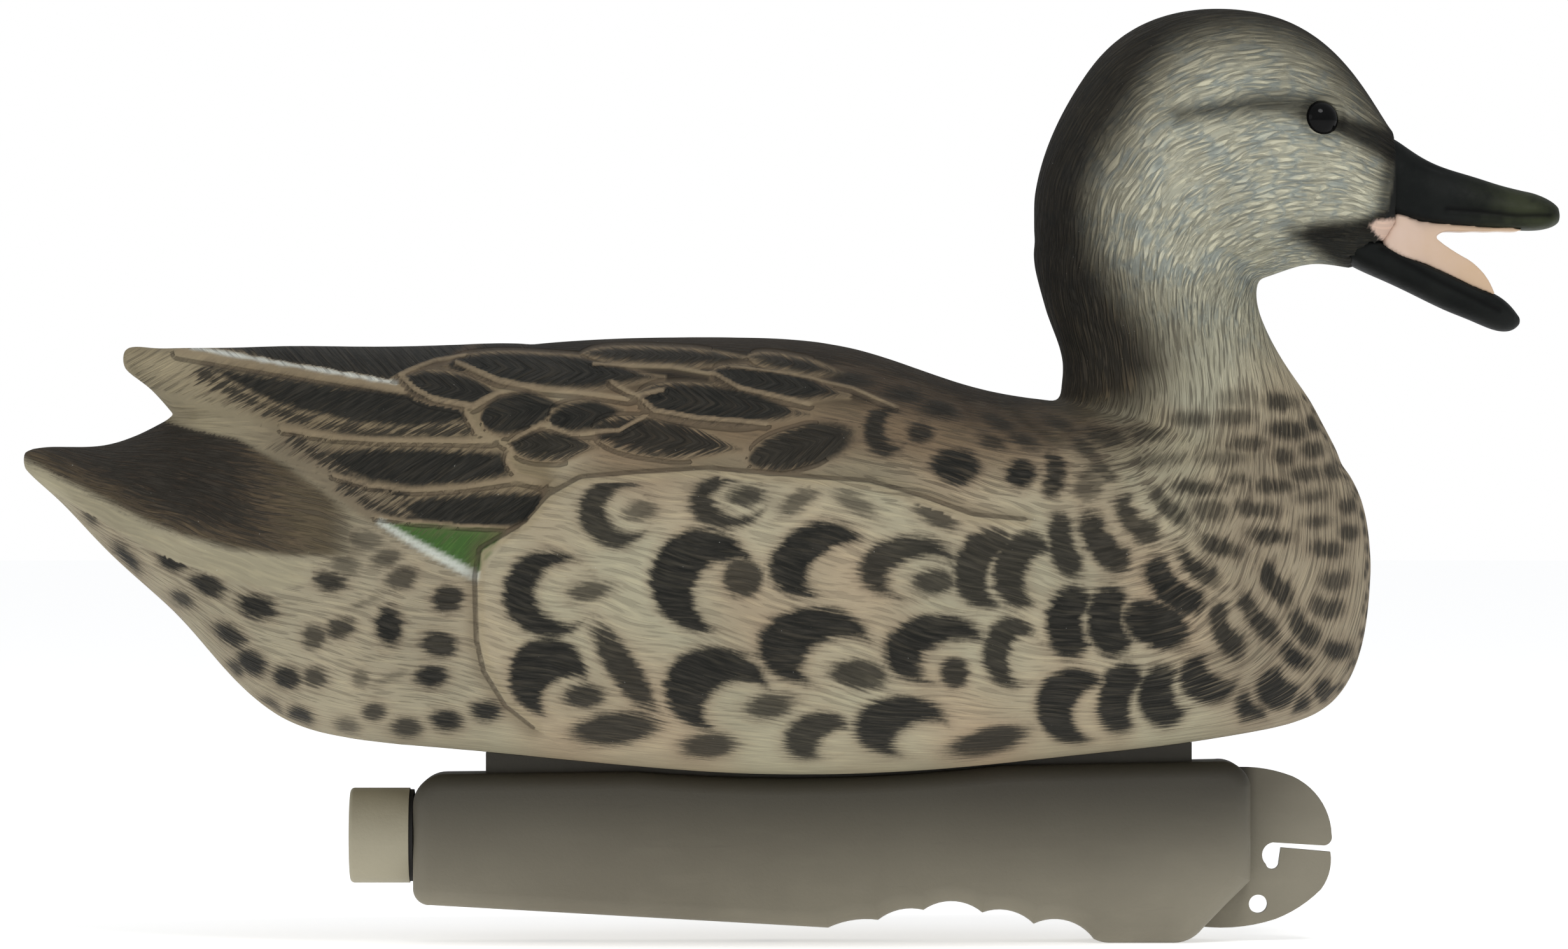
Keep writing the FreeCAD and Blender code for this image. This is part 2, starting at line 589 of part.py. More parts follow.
def keel_cap():
    """Cup-shaped screw cap with an internal thread."""
    corner = size("cap_corner")
    bend = corner * (1 - math.sqrt(0.5))
    rear = size("cap_rear")
    middle = (rear + bend, size("cap_radius") - bend)
    cup = turned("cap_cup", [
        ("cap_rear", "0"), ("cap_rear", "cap_radius - cap_corner"),
        ("cap_rear + cap_corner", "cap_radius", middle), ("cap_rim", "cap_radius"),
        ("cap_rim", "cap_inner"), ("cap_rear + cap_end_wall", "cap_inner"),
        ("cap_rear + cap_end_wall", "0")], "X")
    bind(cup, Placement__Base__z="axis_z")
    ridge = thread("cap_thread", size("cap_inner"), -size("thread_rise"),
                   size("keel_rear - fill_thread_start"), 180.0)
    return fuse("keel_cap", cup, ridge)


def cap_gasket():
    """Flat rubber ring round the fill neck, between the keel and the cap's rim."""
    ring = turned("cap_gasket", [
        ("cap_rim + gasket_gap", "gasket_bore"), ("cap_rim + gasket_gap", "gasket_radius"),
        ("keel_rear - gasket_gap", "gasket_radius"), ("keel_rear - gasket_gap", "gasket_bore"),
    ], "X")
    return bind(ring, Placement__Base__z="axis_z")


def group(label, pieces):
    item = doc.addObject("Part::Compound", label)
    item.Label = label
    item.Links = pieces
    return item


def keel_screws():
    """Self-tapping screws driven up through the keel into the hull's bosses."""
    head_foot = "shoulder_z - washer_thick - boss_gap - screw_head_height"
    head_top = "shoulder_z - washer_thick - boss_gap - screw_overlap"
    heads = screw_set("screw_head", "screw_head_radius", "screw_head_height", head_foot)
    shanks = screw_set("screw_shank", "screw_radius", "screw_length", head_top)
    screws = []
    for number, (head, shank) in enumerate(zip(heads, shanks)):
        solid = fuse(f"screw_{number}_solid", head, shank)
        slots = []
        for turn in (0, 90):
            slot = doc.addObject("Part::Box", f"drive_{number}_{turn}")
            bind(slot, Length="drive_length", Width="drive_width",
                 Height="drive_depth + cut_margin")
            place = Vector(size(f"screw_{number}_x"), 0, size(head_foot + " - cut_margin"))
            spin = Rotation(Vector(0, 0, 1), turn)
            corner = Vector(size("drive_length") / 2, size("drive_width") / 2, 0)
            slot.Placement = Placement(place - spin.multVec(corner), spin)
            slots.append(slot)
        screws.append(cut(f"screw_{number}", solid, fuse(f"drive_{number}", *slots)))
    return group("keel_screws", screws)


def screw_washers():
    """Rubber sealing washers between the screw heads and the keel's shoulders."""
    foot = "shoulder_z - washer_thick"
    discs = screw_set("washer_disc", "washer_radius", "washer_thick - boss_gap", foot)
    holes = screw_set("washer_hole", "screw_radius + boss_gap",
                      "washer_thick + cut_margin + cut_margin", foot + " - cut_margin")
    rings = [cut(f"washer_{number}", disc, hole)
             for number, (disc, hole) in enumerate(zip(discs, holes))]
    return group("screw_washers", rings)


def vent_plug():
    """Mushroom-shaped plug pushed into the hull from below."""
    plug = turned("vent_plug", [
        ("vent_z - vent_flange", "0"), ("vent_z - vent_flange", "vent_head"),
        ("vent_z", "vent_head"), ("vent_z", "vent_radius"),
        ("vent_z + vent_length", "vent_radius"), ("vent_z + vent_length", "0")], "Z")
    return bind(plug, Placement__Base__x="vent_x")


def mouth_insert(upper_bill, lower_bill, head):
    """Pink mouth lining and tongue, trimmed to the bills and the head around it."""
    blank = slab_of("mouth", "mouth_width")
    doc.recompute()
    return feature("mouth_insert", blank.Shape.cut([upper_bill, lower_bill, head.Shape]))


def main():
    fill_sheet()
    outside = hull_outer()
    upper = loft("upperbill")
    lower = loft("lowerbill")
    lower = lower.cut(upper)
    head = head_shell(upper, lower)
    subparts = [
        hull_shell(outside), head, feature("upper_bill", upper), feature("lower_bill", lower),
        mouth_insert(upper, lower, head), eye("eye_right", -1), eye("eye_left", 1),
        neck_seal(), keel_shell(outside), keel_ballast(), keel_cap(), cap_gasket(),
        keel_screws(), screw_washers(), vent_plug(),
    ]
    doc.recompute()
    for item in doc.Objects:
        if {"Invalid", "Error"} & set(item.State):
            raise RuntimeError(f"{item.Label} failed: {item.State}")
    for item in subparts:
        if item.Shape.isNull() or not item.Shape.isValid():
            raise RuntimeError(f"{item.Label} has no valid shape")
    os.makedirs("parts", exist_ok=True)
    for item in subparts:
        item.Shape.exportStep(f"parts/{item.Label}.step")
        box = item.Shape.BoundBox
        print(f"{item.Label}: {len(item.Shape.Solids)} solids, {item.Shape.Volume / 1000:.2f} cm3, "
              f"x {box.XMin:.1f}..{box.XMax:.1f}, y {box.YMin:.1f}..{box.YMax:.1f}, "
              f"z {box.ZMin:.1f}..{box.ZMax:.1f}")


main()
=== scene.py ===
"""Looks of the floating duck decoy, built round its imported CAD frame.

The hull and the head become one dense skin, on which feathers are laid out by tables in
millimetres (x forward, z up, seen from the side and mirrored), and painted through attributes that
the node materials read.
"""
import math

import bpy
import numpy as np
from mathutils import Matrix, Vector


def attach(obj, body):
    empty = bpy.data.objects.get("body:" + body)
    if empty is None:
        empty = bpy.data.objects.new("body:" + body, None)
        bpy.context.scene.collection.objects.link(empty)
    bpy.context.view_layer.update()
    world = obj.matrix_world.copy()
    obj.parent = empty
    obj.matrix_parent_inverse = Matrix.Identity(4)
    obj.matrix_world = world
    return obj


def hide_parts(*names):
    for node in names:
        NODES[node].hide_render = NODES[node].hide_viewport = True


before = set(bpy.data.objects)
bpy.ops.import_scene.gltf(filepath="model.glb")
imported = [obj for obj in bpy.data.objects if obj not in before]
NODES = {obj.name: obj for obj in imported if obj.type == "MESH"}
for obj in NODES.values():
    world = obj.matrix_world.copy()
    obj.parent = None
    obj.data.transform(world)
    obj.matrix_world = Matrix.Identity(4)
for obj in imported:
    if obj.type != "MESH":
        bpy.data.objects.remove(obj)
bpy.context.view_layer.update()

MM = 0.001
SEED = 7

# ---- Camera, floor and light ------------------------------------------------------------------

PICTURE_WIDTH = 0.3647
LENS = 200.0
SENSOR = 36.0
AIM = Vector((-0.0018, 0.0, 0.1084))


def make_camera():
    """Long lens looking along +Y at mid height, as wide as the decoy."""
    data = bpy.data.cameras.new("camera")
    data.lens = LENS
    data.sensor_width = SENSOR
    data.clip_end = 50.0
    camera = bpy.data.objects.new("camera", data)
    camera.location = AIM - Vector((0.0, PICTURE_WIDTH * LENS / SENSOR, 0.0))
    camera.rotation_euler = (math.radians(90.0), 0.0, 0.0)
    bpy.context.scene.collection.objects.link(camera)
    bpy.context.scene.camera = camera


def make_floor():
    """Wide pale disc under the keel."""
    radius = 9.0
    around = 96
    ring = [(radius * math.cos(2 * math.pi * step / around),
             radius * math.sin(2 * math.pi * step / around), 0.0) for step in range(around)]
    mesh = bpy.data.meshes.new("floor")
    mesh.from_pydata(ring, [], [list(range(around))])
    floor = bpy.data.objects.new("floor", mesh)
    bpy.context.scene.collection.objects.link(floor)
    paint = bpy.data.materials.new("floor_paper")
    paint.use_nodes = True
    shader = paint.node_tree.nodes["Principled BSDF"]
    shader.inputs["Base Color"].default_value = (0.97, 0.97, 0.97, 1.0)
    shader.inputs["Roughness"].default_value = 0.9
    shader.inputs["Emission Color"].default_value = (1.0, 1.0, 1.0, 1.0)
    shader.inputs["Emission Strength"].default_value = 0.5
    mesh.materials.append(paint)


def area_light(name, place, size, power):
    """Softbox that looks at the decoy."""
    data = bpy.data.lights.new(name, "AREA")
    data.shape = "DISK"
    data.size = size
    data.energy = power
    light = bpy.data.objects.new(name, data)
    light.location = place
    light.rotation_euler = (AIM - Vector(place)).to_track_quat("-Z", "Y").to_euler()
    bpy.context.scene.collection.objects.link(light)


def make_lights():
    scene = bpy.context.scene
    scene.view_settings.view_transform = "Standard"
    world = bpy.data.worlds.new("studio")
    world.use_nodes = True
    nodes, links = world.node_tree.nodes, world.node_tree.links
    backdrop = nodes["Background"]
    backdrop.inputs["Color"].default_value = (1.0, 1.0, 1.0, 1.0)
    backdrop.inputs["Strength"].default_value = 1.0
    dome = nodes.new("ShaderNodeBackground")
    dome.inputs["Color"].default_value = (0.97, 0.985, 1.0, 1.0)
    dome.inputs["Strength"].default_value = 0.5
    seen = nodes.new("ShaderNodeLightPath")
    either = nodes.new("ShaderNodeMixShader")
    links.new(seen.outputs["Is Camera Ray"], either.inputs[0])
    links.new(dome.outputs[0], either.inputs[1])
    links.new(backdrop.outputs[0], either.inputs[2])
    links.new(either.outputs[0], nodes["World Output"].inputs["Surface"])
    scene.world = world
    area_light("key_light", (0.35, -1.15, 1.75), 0.8, 16.5)
    area_light("fill_light", (-1.5, -1.1, 0.7), 0.9, 2.2)
    area_light("back_light", (-0.3, 1.6, 1.5), 0.9, 3.0)


# ---- Small mesh helpers -----------------------------------------------------------------------


def link(name, mesh):
    piece = bpy.data.objects.new(name, mesh)
    bpy.context.scene.collection.objects.link(piece)
    return piece


def ellipsoid(centre, radii, rings=12, around=24):
    """Vertices and faces of a closed ellipsoid, in metres from millimetres."""
    spots = [(centre[0], centre[1], centre[2] - radii[2])]
    for ring in range(1, rings):
        tilt = math.pi * ring / rings - math.pi / 2
        for step in range(around):
            turn = 2 * math.pi * step / around
            spots.append((centre[0] + radii[0] * math.cos(tilt) * math.cos(turn),
                          centre[1] + radii[1] * math.cos(tilt) * math.sin(turn),
                          centre[2] + radii[2] * math.sin(tilt)))
    spots.append((centre[0], centre[1], centre[2] + radii[2]))
    faces = []
    for step in range(around):
        after = (step + 1) % around
        faces.append((0, 1 + after, 1 + step))
        for ring in range(rings - 2):
            low = 1 + ring * around
            faces.append((low + step, low + after, low + around + after, low + around + step))
        last = 1 + (rings - 2) * around
        faces.append((last + step, last + after, len(spots) - 1))
    return [tuple(value * MM for value in spot) for spot in spots], faces


def remeshed(name, sources, fillers, voxel):
    """One closed mesh over several nodes, with fillers that plug openings behind the surface."""
    spots = []
    faces = []
    for source in sources:
        base = len(spots)
        spots += [tuple(vertex.co) for vertex in source.data.vertices]
        faces += [[base + index for index in face.vertices] for face in source.data.polygons]
    for centre, radii in fillers:
        base = len(spots)
        more, patch = ellipsoid(centre, radii)
        spots += more
        faces += [[base + index for index in face] for face in patch]
    mesh = bpy.data.meshes.new(name + "_raw")
    mesh.from_pydata(spots, [], faces)
    raw = link(name + "_raw", mesh)
    remesh = raw.modifiers.new("remesh", "REMESH")
    remesh.mode = "VOXEL"
    remesh.voxel_size = voxel
    solid = bpy.data.meshes.new_from_object(raw.evaluated_get(
        bpy.context.evaluated_depsgraph_get()))
    bpy.data.objects.remove(raw)
    return largest_island(solid)


def arrays(mesh):
    """Vertex places in millimetres and quad corners as arrays."""
    places = np.zeros(len(mesh.vertices) * 3)
    mesh.vertices.foreach_get("co", places)
    corners = np.zeros(len(mesh.loops), np.int64)
    mesh.loops.foreach_get("vertex_index", corners)
    return places.reshape(-1, 3) / MM, corners.reshape(-1, 4)


def largest_island(mesh):
    """Keeps only the biggest connected surface, which is the outside; returns places and quads."""
    places, quads = arrays(mesh)
    label = np.arange(len(places))
    while True:
        lowest = label[quads].min(axis=1)
        before = label.copy()
        for corner in range(4):
            np.minimum.at(label, quads[:, corner], lowest)
        label = label[label]
        if (label == before).all():
            break
    sizes = np.bincount(label, minlength=len(places))
    keep = label == sizes.argmax()
    renumber = np.cumsum(keep) - 1
    return places[keep], renumber[quads[keep[quads[:, 0]]]]


def neighbours(quads):
    """Every edge of the quads, both ways round, as two index arrays."""
    pairs = np.concatenate([quads[:, [side, (side + 1) % 4]] for side in range(4)])
    pairs = np.unique(np.sort(pairs, axis=1), axis=0)
    return np.concatenate([pairs[:, 0], pairs[:, 1]]), np.concatenate([pairs[:, 1], pairs[:, 0]])


def mean_around(values, start, end, count):
    """Average of each vertex's neighbours."""
    weight = np.bincount(start, minlength=count)
    if values.ndim == 1:
        return np.bincount(start, values[end], count) / weight
    return np.stack([np.bincount(start, values[end, axis], count) / weight for axis in range(3)], 1)


def smooth(values, edges, rounds, shrink=0.5, grow=-0.53):
    """Taubin smoothing, which takes out steps without shrinking the form."""
    start, end = edges
    count = len(values)
    for _ in range(rounds):
        for pull in (shrink, grow):
            values = values + pull * (mean_around(values, start, end, count) - values)
    return values


def normals_of(places, quads):
    across = places[quads[:, 2]] - places[quads[:, 0]]
    other = places[quads[:, 3]] - places[quads[:, 1]]
    face = np.cross(across, other)
    total = np.stack([np.bincount(quads.ravel(), np.repeat(face[:, axis], 4), len(places))
                      for axis in range(3)], 1)
    return total / np.maximum(np.linalg.norm(total, axis=1, keepdims=True), 1e-12)


def build(name, places, quads, fields, normals):
    """Mesh object from arrays, with its attributes and smooth shading."""
    mesh = bpy.data.meshes.new(name)
    mesh.vertices.add(len(places))
    mesh.vertices.foreach_set("co", (places * MM).astype(np.float32).ravel())
    mesh.loops.add(quads.size)
    mesh.loops.foreach_set("vertex_index", quads.astype(np.int32).ravel())
    mesh.polygons.add(len(quads))
    mesh.polygons.foreach_set("loop_start", np.arange(0, quads.size, 4, dtype=np.int32))
    mesh.update(calc_edges=True)
    mesh.validate()
    mesh.polygons.foreach_set("use_smooth", np.ones(len(quads), bool))
    for field, values in fields.items():
        if values.ndim == 1:
            attribute = mesh.attributes.new(field, "FLOAT", "POINT")
            attribute.data.foreach_set("value", values.astype(np.float32))
        else:
            attribute = mesh.attributes.new(field, "FLOAT_VECTOR", "POINT")
            attribute.data.foreach_set("vector", values.astype(np.float32).ravel())
    mesh.normals_split_custom_set_from_vertices(normals.astype(np.float32))
    return link(name, mesh)


def step_up(low, high, value):
    """Smooth step from 0 at low to 1 at high."""
    share = np.clip((value - low) / (high - low), 0.0, 1.0)
    return share * share * (3.0 - 2.0 * share)


def mix(first, second, share):
    share = np.asarray(share)
    if share.ndim:
        share = share[:, None]
    return first * (1 - share) + np.asarray(second) * share


# ---- Feather layout, in millimetres on the side view ------------------------------------------

# Painted marks: x, z, half length along the body, half height, tilt in degrees (positive lifts the
# front end), for a crescent how far forward and up its bite lies, and last the paint's strength.
FLANK_MARKS = (
    (-41.3, 99.4, 8, 7.6, 0, 4.7, 0.6, 0.95), (-34.9, 100, 3.4, 1.9, 10, 0.7),
    (-15, 102, 8.6, 6, 4, 4, 0.6, 0.95), (-10.8, 103.2, 3.9, 1.8, 0, 0.9), (1, 101.7, 4.4, 1.9, 32, 0.7),
    (14.5, 101.7, 4.6, 1.9, -36, 0.6), (33.6, 98.6, 4.6, 2.2, -26, 0.8),
    (-56.5, 80.7, 10.4, 9.8, 0, 5.4, 0.2, 1), (-47, 81.3, 4.2, 2.1, 10, 0.8),
    (-20.7, 83.8, 12.2, 11.8, -22, 8.6, -1, 1), (-11.3, 84.3, 4.5, 4.2, 0, 0.9),
    (5.6, 88.6, 11, 8, 24, 4.9, -5, 1), (26.7, 86.8, 10.8, 7, 6, 3.7, -3.2, 0.95),
    (33, 83.4, 4.6, 2.7, 0, 0.9), (45.2, 86.4, 7.2, 9, -14, 6.4, -0.8, 0.95),
    (54, 86.2, 7, 8.6, -14, 6.2, -0.8, 0.95), (63.6, 91.6, 3.6, 7.4, 14, 4.8, 1.6, 0.95),
    (72.8, 92.6, 4.2, 8, 34, 5.2, 1.2, 0.95), (-56.8, 61.8, 8.8, 8.6, 0, 5.8, -6.6, 1),
    (-48.3, 57, 4.3, 2.5, 0, 0.95), (-39.2, 63.4, 11.2, 3.2, -56, 0.95),
    (-17.7, 58.4, 11.9, 9.6, -8, 7.7, -4.2, 1), (-5, 54.6, 5.2, 2.6, 8, 0.85),
    (5.1, 68.6, 12.9, 8.8, 2, 7.7, -4.8, 1), (15.6, 62, 6.4, 3.2, -8, 0.9),
    (33, 67.9, 11.5, 7.6, 8, 5.3, -4.2, 1), (37.9, 62.3, 3.1, 3.3, 0, 0.95),
    (51, 67, 6.4, 8, 0, 4.4, -1.8, 0.95), (65, 74.1, 5.8, 8.2, -4, 7.2, 0.2, 1),
    (74.3, 74.2, 5.4, 8.2, 4, 7, 0.2, 1), (84.5, 73.4, 8, 5, -24, 1),
    (89.4, 82.6, 8.2, 4.8, -38, 0, 5, 1), (-41, 49.4, 9.6, 3.6, 6, 0.95), (-19.4, 45.4, 5.9, 2.7, 4, 0.9),
    (5.5, 47.7, 7.4, 5, 20, 4.8, -4.2, 0.95), (25.1, 50, 10.3, 6.8, 4, 6.7, -4.4, 1),
    (45.6, 46.4, 8.8, 2.9, 14, 0.95), (65.6, 54.6, 8.6, 8.6, 0, 6.8, -2, 1),
    (76.8, 56.4, 5.4, 8.2, -12, 6.4, -0.8, 1), (86.6, 57, 6, 7.2, 2, 6.8, 1.4, 1),
    (96.8, 61, 6.6, 5.6, -12, 3.6, 4.8, 1),
)
SHOULDER_MARKS = (
    (21.7, 118.6, 4.8, 5.6, 0, 3.6, 0.4, 0.95), (29.9, 118.1, 2.8, 2.2, 0, 0.95),
    (38.1, 110.3, 5.4, 4, -10, 1), (53.2, 108.5, 3.3, 3.2, 20, 1), (61.6, 110.3, 2, 3.4, 26, 0.95),
    (60.8, 106, 2.4, 2.4, 30, 0.95), (46.8, 116, 3, 1.6, -24, 0.85), (34.3, 123.4, 4.6, 1.8, -10, 0.9),
    (47.9, 120.5, 3.8, 1.3, -24, 0.85), (54, 116.2, 3.2, 1.4, -24, 0.85), (3.2, 114.9, 11, 4.6, 16, 1),
    (68.3, 114.5, 3.2, 1.4, -30, 0.8), (72.1, 109.2, 3.2, 1.7, -34, 0.85), (26, 127, 4.6, 1.6, -10, 0.9),
    (14, 130.5, 5, 1.6, -8, 0.9), (61.6, 120.4, 3.4, 1.2, -20, 0.8),
)
BREAST_MARKS = (
    (112.9, 58.8, 4.6, 4.9, -36, 0.9, 6.2, 1), (106.8, 53.4, 2.8, 4.5, 24, 3.1, 3.1, 1),
    (118.5, 54.6, 1.5, 2.7, -20, 1), (124.4, 58, 2.8, 2.5, -38, 0, 3.7, 1),
    (117.4, 66.2, 3.8, 2.7, -36, 0, 3.1, 1), (127, 67.8, 3.2, 2.4, -4, 0, 3.1, 0.95),
    (101.2, 72.2, 3.2, 6.9, 22, 3.7, 2.2, 0.95), (108.6, 75.2, 2.6, 6.7, 36, 3.4, 2.2, 0.95),
    (119.3, 72.6, 2.8, 4.9, 34, 3.4, 1.9, 0.95), (124.6, 77.7, 3.7, 2.8, -8, 0, 3.4, 0.85),
    (112.9, 82.8, 2.6, 5.8, 34, 3.4, 1.9, 0.95), (126.4, 84, 3.3, 2.5, 6, 0, 3.1, 0.8),
    (94.6, 87, 2.7, 6.3, 46, 2.8, 2.2, 0.95), (80.4, 98, 3.5, 6.5, 38, 3.7, 1.6, 0.9),
    (88, 100.8, 2.2, 5.8, 44, 2.8, 1.6, 0.85), (99.4, 91.8, 5, 2.1, -18, 0, 3.1, 0.9),
    (97.8, 100, 4.1, 2.2, -4, 0.7), (94.6, 105.4, 5.2, 1.7, -4, 0, 2.5, 0.85),
    (108.3, 100.4, 4.8, 1.8, -6, 0, 2.5, 0.8), (112.1, 105.7, 4.2, 1.5, -2, 0.85),
    (111.3, 94.2, 4.8, 1.9, -6, 0, 2.8, 0.9), (93.2, 121.2, 3.9, 1.6, 0, 0.7),
    (103, 126.4, 3.2, 1.7, 0, 0.45), (103.4, 121.6, 3.6, 1.7, 0, 0.7), (113.4, 125.2, 3.6, 1.8, -4, 0.85),
    (115.5, 118.7, 4.2, 2, -4, 0.9), (121.6, 120.3, 2, 1.9, 0, 0.9), (106.1, 115.6, 3.5, 1.3, 2, 0.8),
    (121.2, 114.2, 2.2, 1.7, 4, 0.85), (114.4, 112.6, 2.3, 1.6, -14, 0.8), (127.6, 111, 1.4, 1.9, 0, 0.8),
    (119.7, 108.5, 3.3, 1.6, 6, 0, 2.5, 0.8), (126.1, 109.1, 2.1, 1.6, 0, 0.85),
    (121.2, 103.2, 3.2, 1.3, 8, 0, 2.2, 0.7), (129.2, 101.2, 2, 1.8, 4, 0, 2.5, 0.85),
    (122.3, 97.5, 3, 1.2, 4, 0, 2.2, 0.75), (129.6, 94.9, 2.1, 1.8, 0, 0.85),
    (124.6, 91.1, 3.6, 1.9, -4, 0, 2.8, 0.85), (82.7, 117.8, 4, 1.5, 0, 0.75),
    (73, 117.4, 4.4, 1.9, -12, 0.8), (84, 111.6, 5.8, 1.2, 6, 0.6), (104, 107.2, 2.8, 1.1, 0, 0.7),
    (99.4, 112.2, 5.2, 1.2, 0, 0.5), (69.4, 106.4, 3, 3.8, -30, 0.6),
)
RUMP_MARKS = (
    (-162.9, 98.4, 1.5, 1, -40, 0.8), (-154.7, 89, 3.8, 1.5, -48, 1), (-144, 88.7, 3.5, 2.4, -25, 1),
    (-135.8, 82.5, 3.8, 2, -28, 1), (-141.7, 79.5, 2.5, 1.5, -35, 0.9), (-124.6, 77.7, 4.3, 2.5, -22, 1),
    (-130.5, 71, 3.8, 2.1, -35, 1), (-125.7, 64.7, 3.5, 2.3, -35, 1), (-129.3, 63.6, 2, 1.5, -45, 0.9),
    (-117.5, 61.2, 3, 2.3, -20, 1), (-110.7, 61.2, 2.5, 2.1, -10, 0.85), (-121, 54.1, 2.5, 1.4, -40, 0.9),
    (-114.3, 52.3, 2.8, 1.8, -20, 1), (-103.3, 50, 2.5, 1.5, -15, 0.7),
    (-111.2, 70.6, 2.5, 2.4, -60, 0.8), (-104.9, 72.7, 3, 2.1, 10, 0.9), (-93.8, 73, 3, 4.3, 0, 1),
    (-82, 68.9, 4, 2.8, -10, 0.95), (-83.8, 61.5, 3.4, 2.4, 0, 1), (-100.1, 61.2, 1.9, 1.9, 0, 0.6),
    (-93.8, 61.2, 2.3, 0.6, 20, 0.5), (-97, 53.3, 2.4, 1.9, 0, 0.9), (-89.5, 49.6, 3.3, 2.1, -5, 0.9),
    (-80.3, 51.2, 3.4, 2.3, -5, 1), (-71.2, 53.5, 3.3, 2.3, -5, 1), (-98.9, 93, 3.5, 1.9, -10, 0.6),
    (-103.9, 87.5, 3, 1.9, -10, 0.6), (-94.4, 89, 3.1, 1.9, 15, 0.7), (-107.4, 83.6, 3.4, 1.9, -10, 0.95),
    (-90.7, 84.2, 3.5, 2.3, 20, 0.8), (-79.9, 79.5, 3.4, 3, 25, 0.95), (-98.6, 78.9, 2.5, 0.5, 25, 0.5),
)

# Dark vanes of the long wing feathers, as outlines.
VANES = (
    ((-136, 133.6), (-112, 129.8), (-90, 127.2), (-77, 124.6), (-75.8, 120.8),
     (-88, 119.4), (-100, 120.4), (-110, 122.4), (-120, 124.8), (-130, 129.8)),
    ((-109.6, 113.4), (-98, 114.6), (-82, 114.2), (-67.6, 113.4), (-65.8, 108.4),
     (-76, 106.4), (-88.8, 105.5), (-98, 107), (-104.7, 109.6)),
    ((-92, 101.6), (-82, 103.2), (-70, 104), (-58.4, 104), (-57.4, 101), (-60.4, 97.8),
     (-66.2, 95.9), (-78, 96.2), (-86.6, 97.6)),
    ((-138, 139), (-120, 134.6), (-104, 131.6), (-92.6, 130), (-88, 132.6),
     (-80, 135.4), (-70, 142), (-138, 144)),
)
# Each long feather's root and tip, which its barbs slant away from, and the area that they fill.
VANE_AREAS = (
    ((-60, 124.5), (-142, 137.2),
     ((-160, 150), (-160, 139.5), (-142, 137.2), (-120, 133.2), (-104, 130.4),
      (-90, 128), (-60, 128.4), (-60, 150))),
    ((-60, 124.5), (-142, 137.2),
     ((-160, 139.5), (-142, 137.2), (-120, 133.2), (-104, 130.4), (-90, 128),
      (-76, 124), (-72, 116.2), (-96, 116.4), (-118.4, 119), (-150, 128))),
    ((-56, 115.8), (-119, 119),
     ((-118.4, 119), (-96, 116.4), (-70, 116), (-64, 107.4), (-76, 105.4),
      (-88, 104.7), (-106.4, 108.2), (-124, 114))),
    ((-50, 106), (-106, 108.2),
     ((-106.4, 108.2), (-88, 104.7), (-76, 105.4), (-64, 107.2), (-54, 106),
      (-60, 96), (-74, 96.4), (-97, 98.6), (-108, 104))),
)
# Lines that barbs run out of, past the vanes, with their half thickness.
LONG_BARBS = (
    (((-137, 131.6), (-124, 124.6), (-112, 120.6), (-100, 118.2), (-76, 118.4)), 2.6),
    (((-116, 116.6), (-108, 111.6), (-102, 107.2), (-90, 103.4)), 2.4),
    (((-104, 105.6), (-98, 101.4), (-90, 98.6), (-80, 96)), 2.4),
)
# Smaller wing feathers, each over those before: tip, root, half width, strength and streakiness.
COVERTS = (
    (-80, 133.6, -30, 130.6, 4.2, 1, 0.5), (-90.6, 129.8, -66, 126, 4, 1, 0.5),
    (-48, 136.4, -6, 134.6, 2.2, 0.9, 0.8), (-72.4, 120.8, -53, 124.6, 4.9, 1, 0.4),
    (-65.6, 115.2, -45, 114.6, 3.6, 0.95, 1.3), (-56.6, 120.6, -39, 123.2, 3.8, 1, 0.4),
    (-46.4, 118.8, -12, 114.2, 4.4, 0.95, 1.5), (-36, 126.4, 4, 122.2, 4.6, 1, 0.9),
    (-19, 131.6, 13, 126.6, 3.6, 1, 0.6), (-10, 111.4, 15, 118.4, 4.4, 0.95, 1),
    (-10, 135.6, 12, 131.6, 2, 0.9, 0.7),
)

# Raised pale ridges between the wing feathers, with their half thickness.
RIDGES = (
    (((-142.5, 136.9), (-120, 133.1), (-104, 130.4), (-90.4, 128)), 1.25),
    (((-92.4, 130.6), (-88.8, 132.6), (-83, 134.8), (-76, 135.8)), 0.7),
    (((-91, 131.2), (-87.7, 128), (-83.2, 125.6), (-74.1, 123.9), (-67.9, 127.3),
      (-60, 128.4)), 0.8),
    (((-78, 134), (-68.4, 129.9), (-60.5, 128.2), (-50, 127.4), (-38, 125.8),
      (-30, 127.6)), 0.8),
    (((-75.8, 122.6), (-73, 118), (-67.9, 116), (-65.2, 114.2), (-66.2, 111.4),
      (-63.9, 108.2), (-56, 105.9)), 0.75),
    (((-65, 116.2), (-58.2, 119.8), (-51, 117.4), (-40, 118.2), (-34, 121.6)), 0.7),
    (((-118.4, 119), (-108, 117.2), (-96, 116.4), (-80, 116.2), (-70, 116)), 0.8),
    (((-106.4, 108.2), (-98, 105.8), (-88, 104.7), (-76, 105.4), (-64, 107.2),
      (-57, 105.6)), 0.75),
    (((-97, 98.6), (-86, 97.2), (-74, 96.4), (-66, 96)), 0.6),
    (((-42, 129.6), (-36, 126.4), (-32, 123), (-22, 121.2), (-6, 120)), 0.7),
    (((-46, 133.6), (-28, 133.2), (-18, 131.4), (-12, 128), (4, 124.6)), 0.7),
    (((-14, 133), (0, 131.4), (14, 128.4), (24, 124)), 0.6),
)
# White fringe of the wing's top ridge, its green speculum and that one's white rim.
FRINGE = ((-139, 137.8), (-120, 134.4), (-104, 131.7), (-92, 129.6))
SPECULUM = ((-95.4, 97.4), (-66.4, 95.4), (-72.9, 85.4))
SPECULUM_RIM = ((-95.8, 97.4), (-88, 92.6), (-73.2, 84.6))
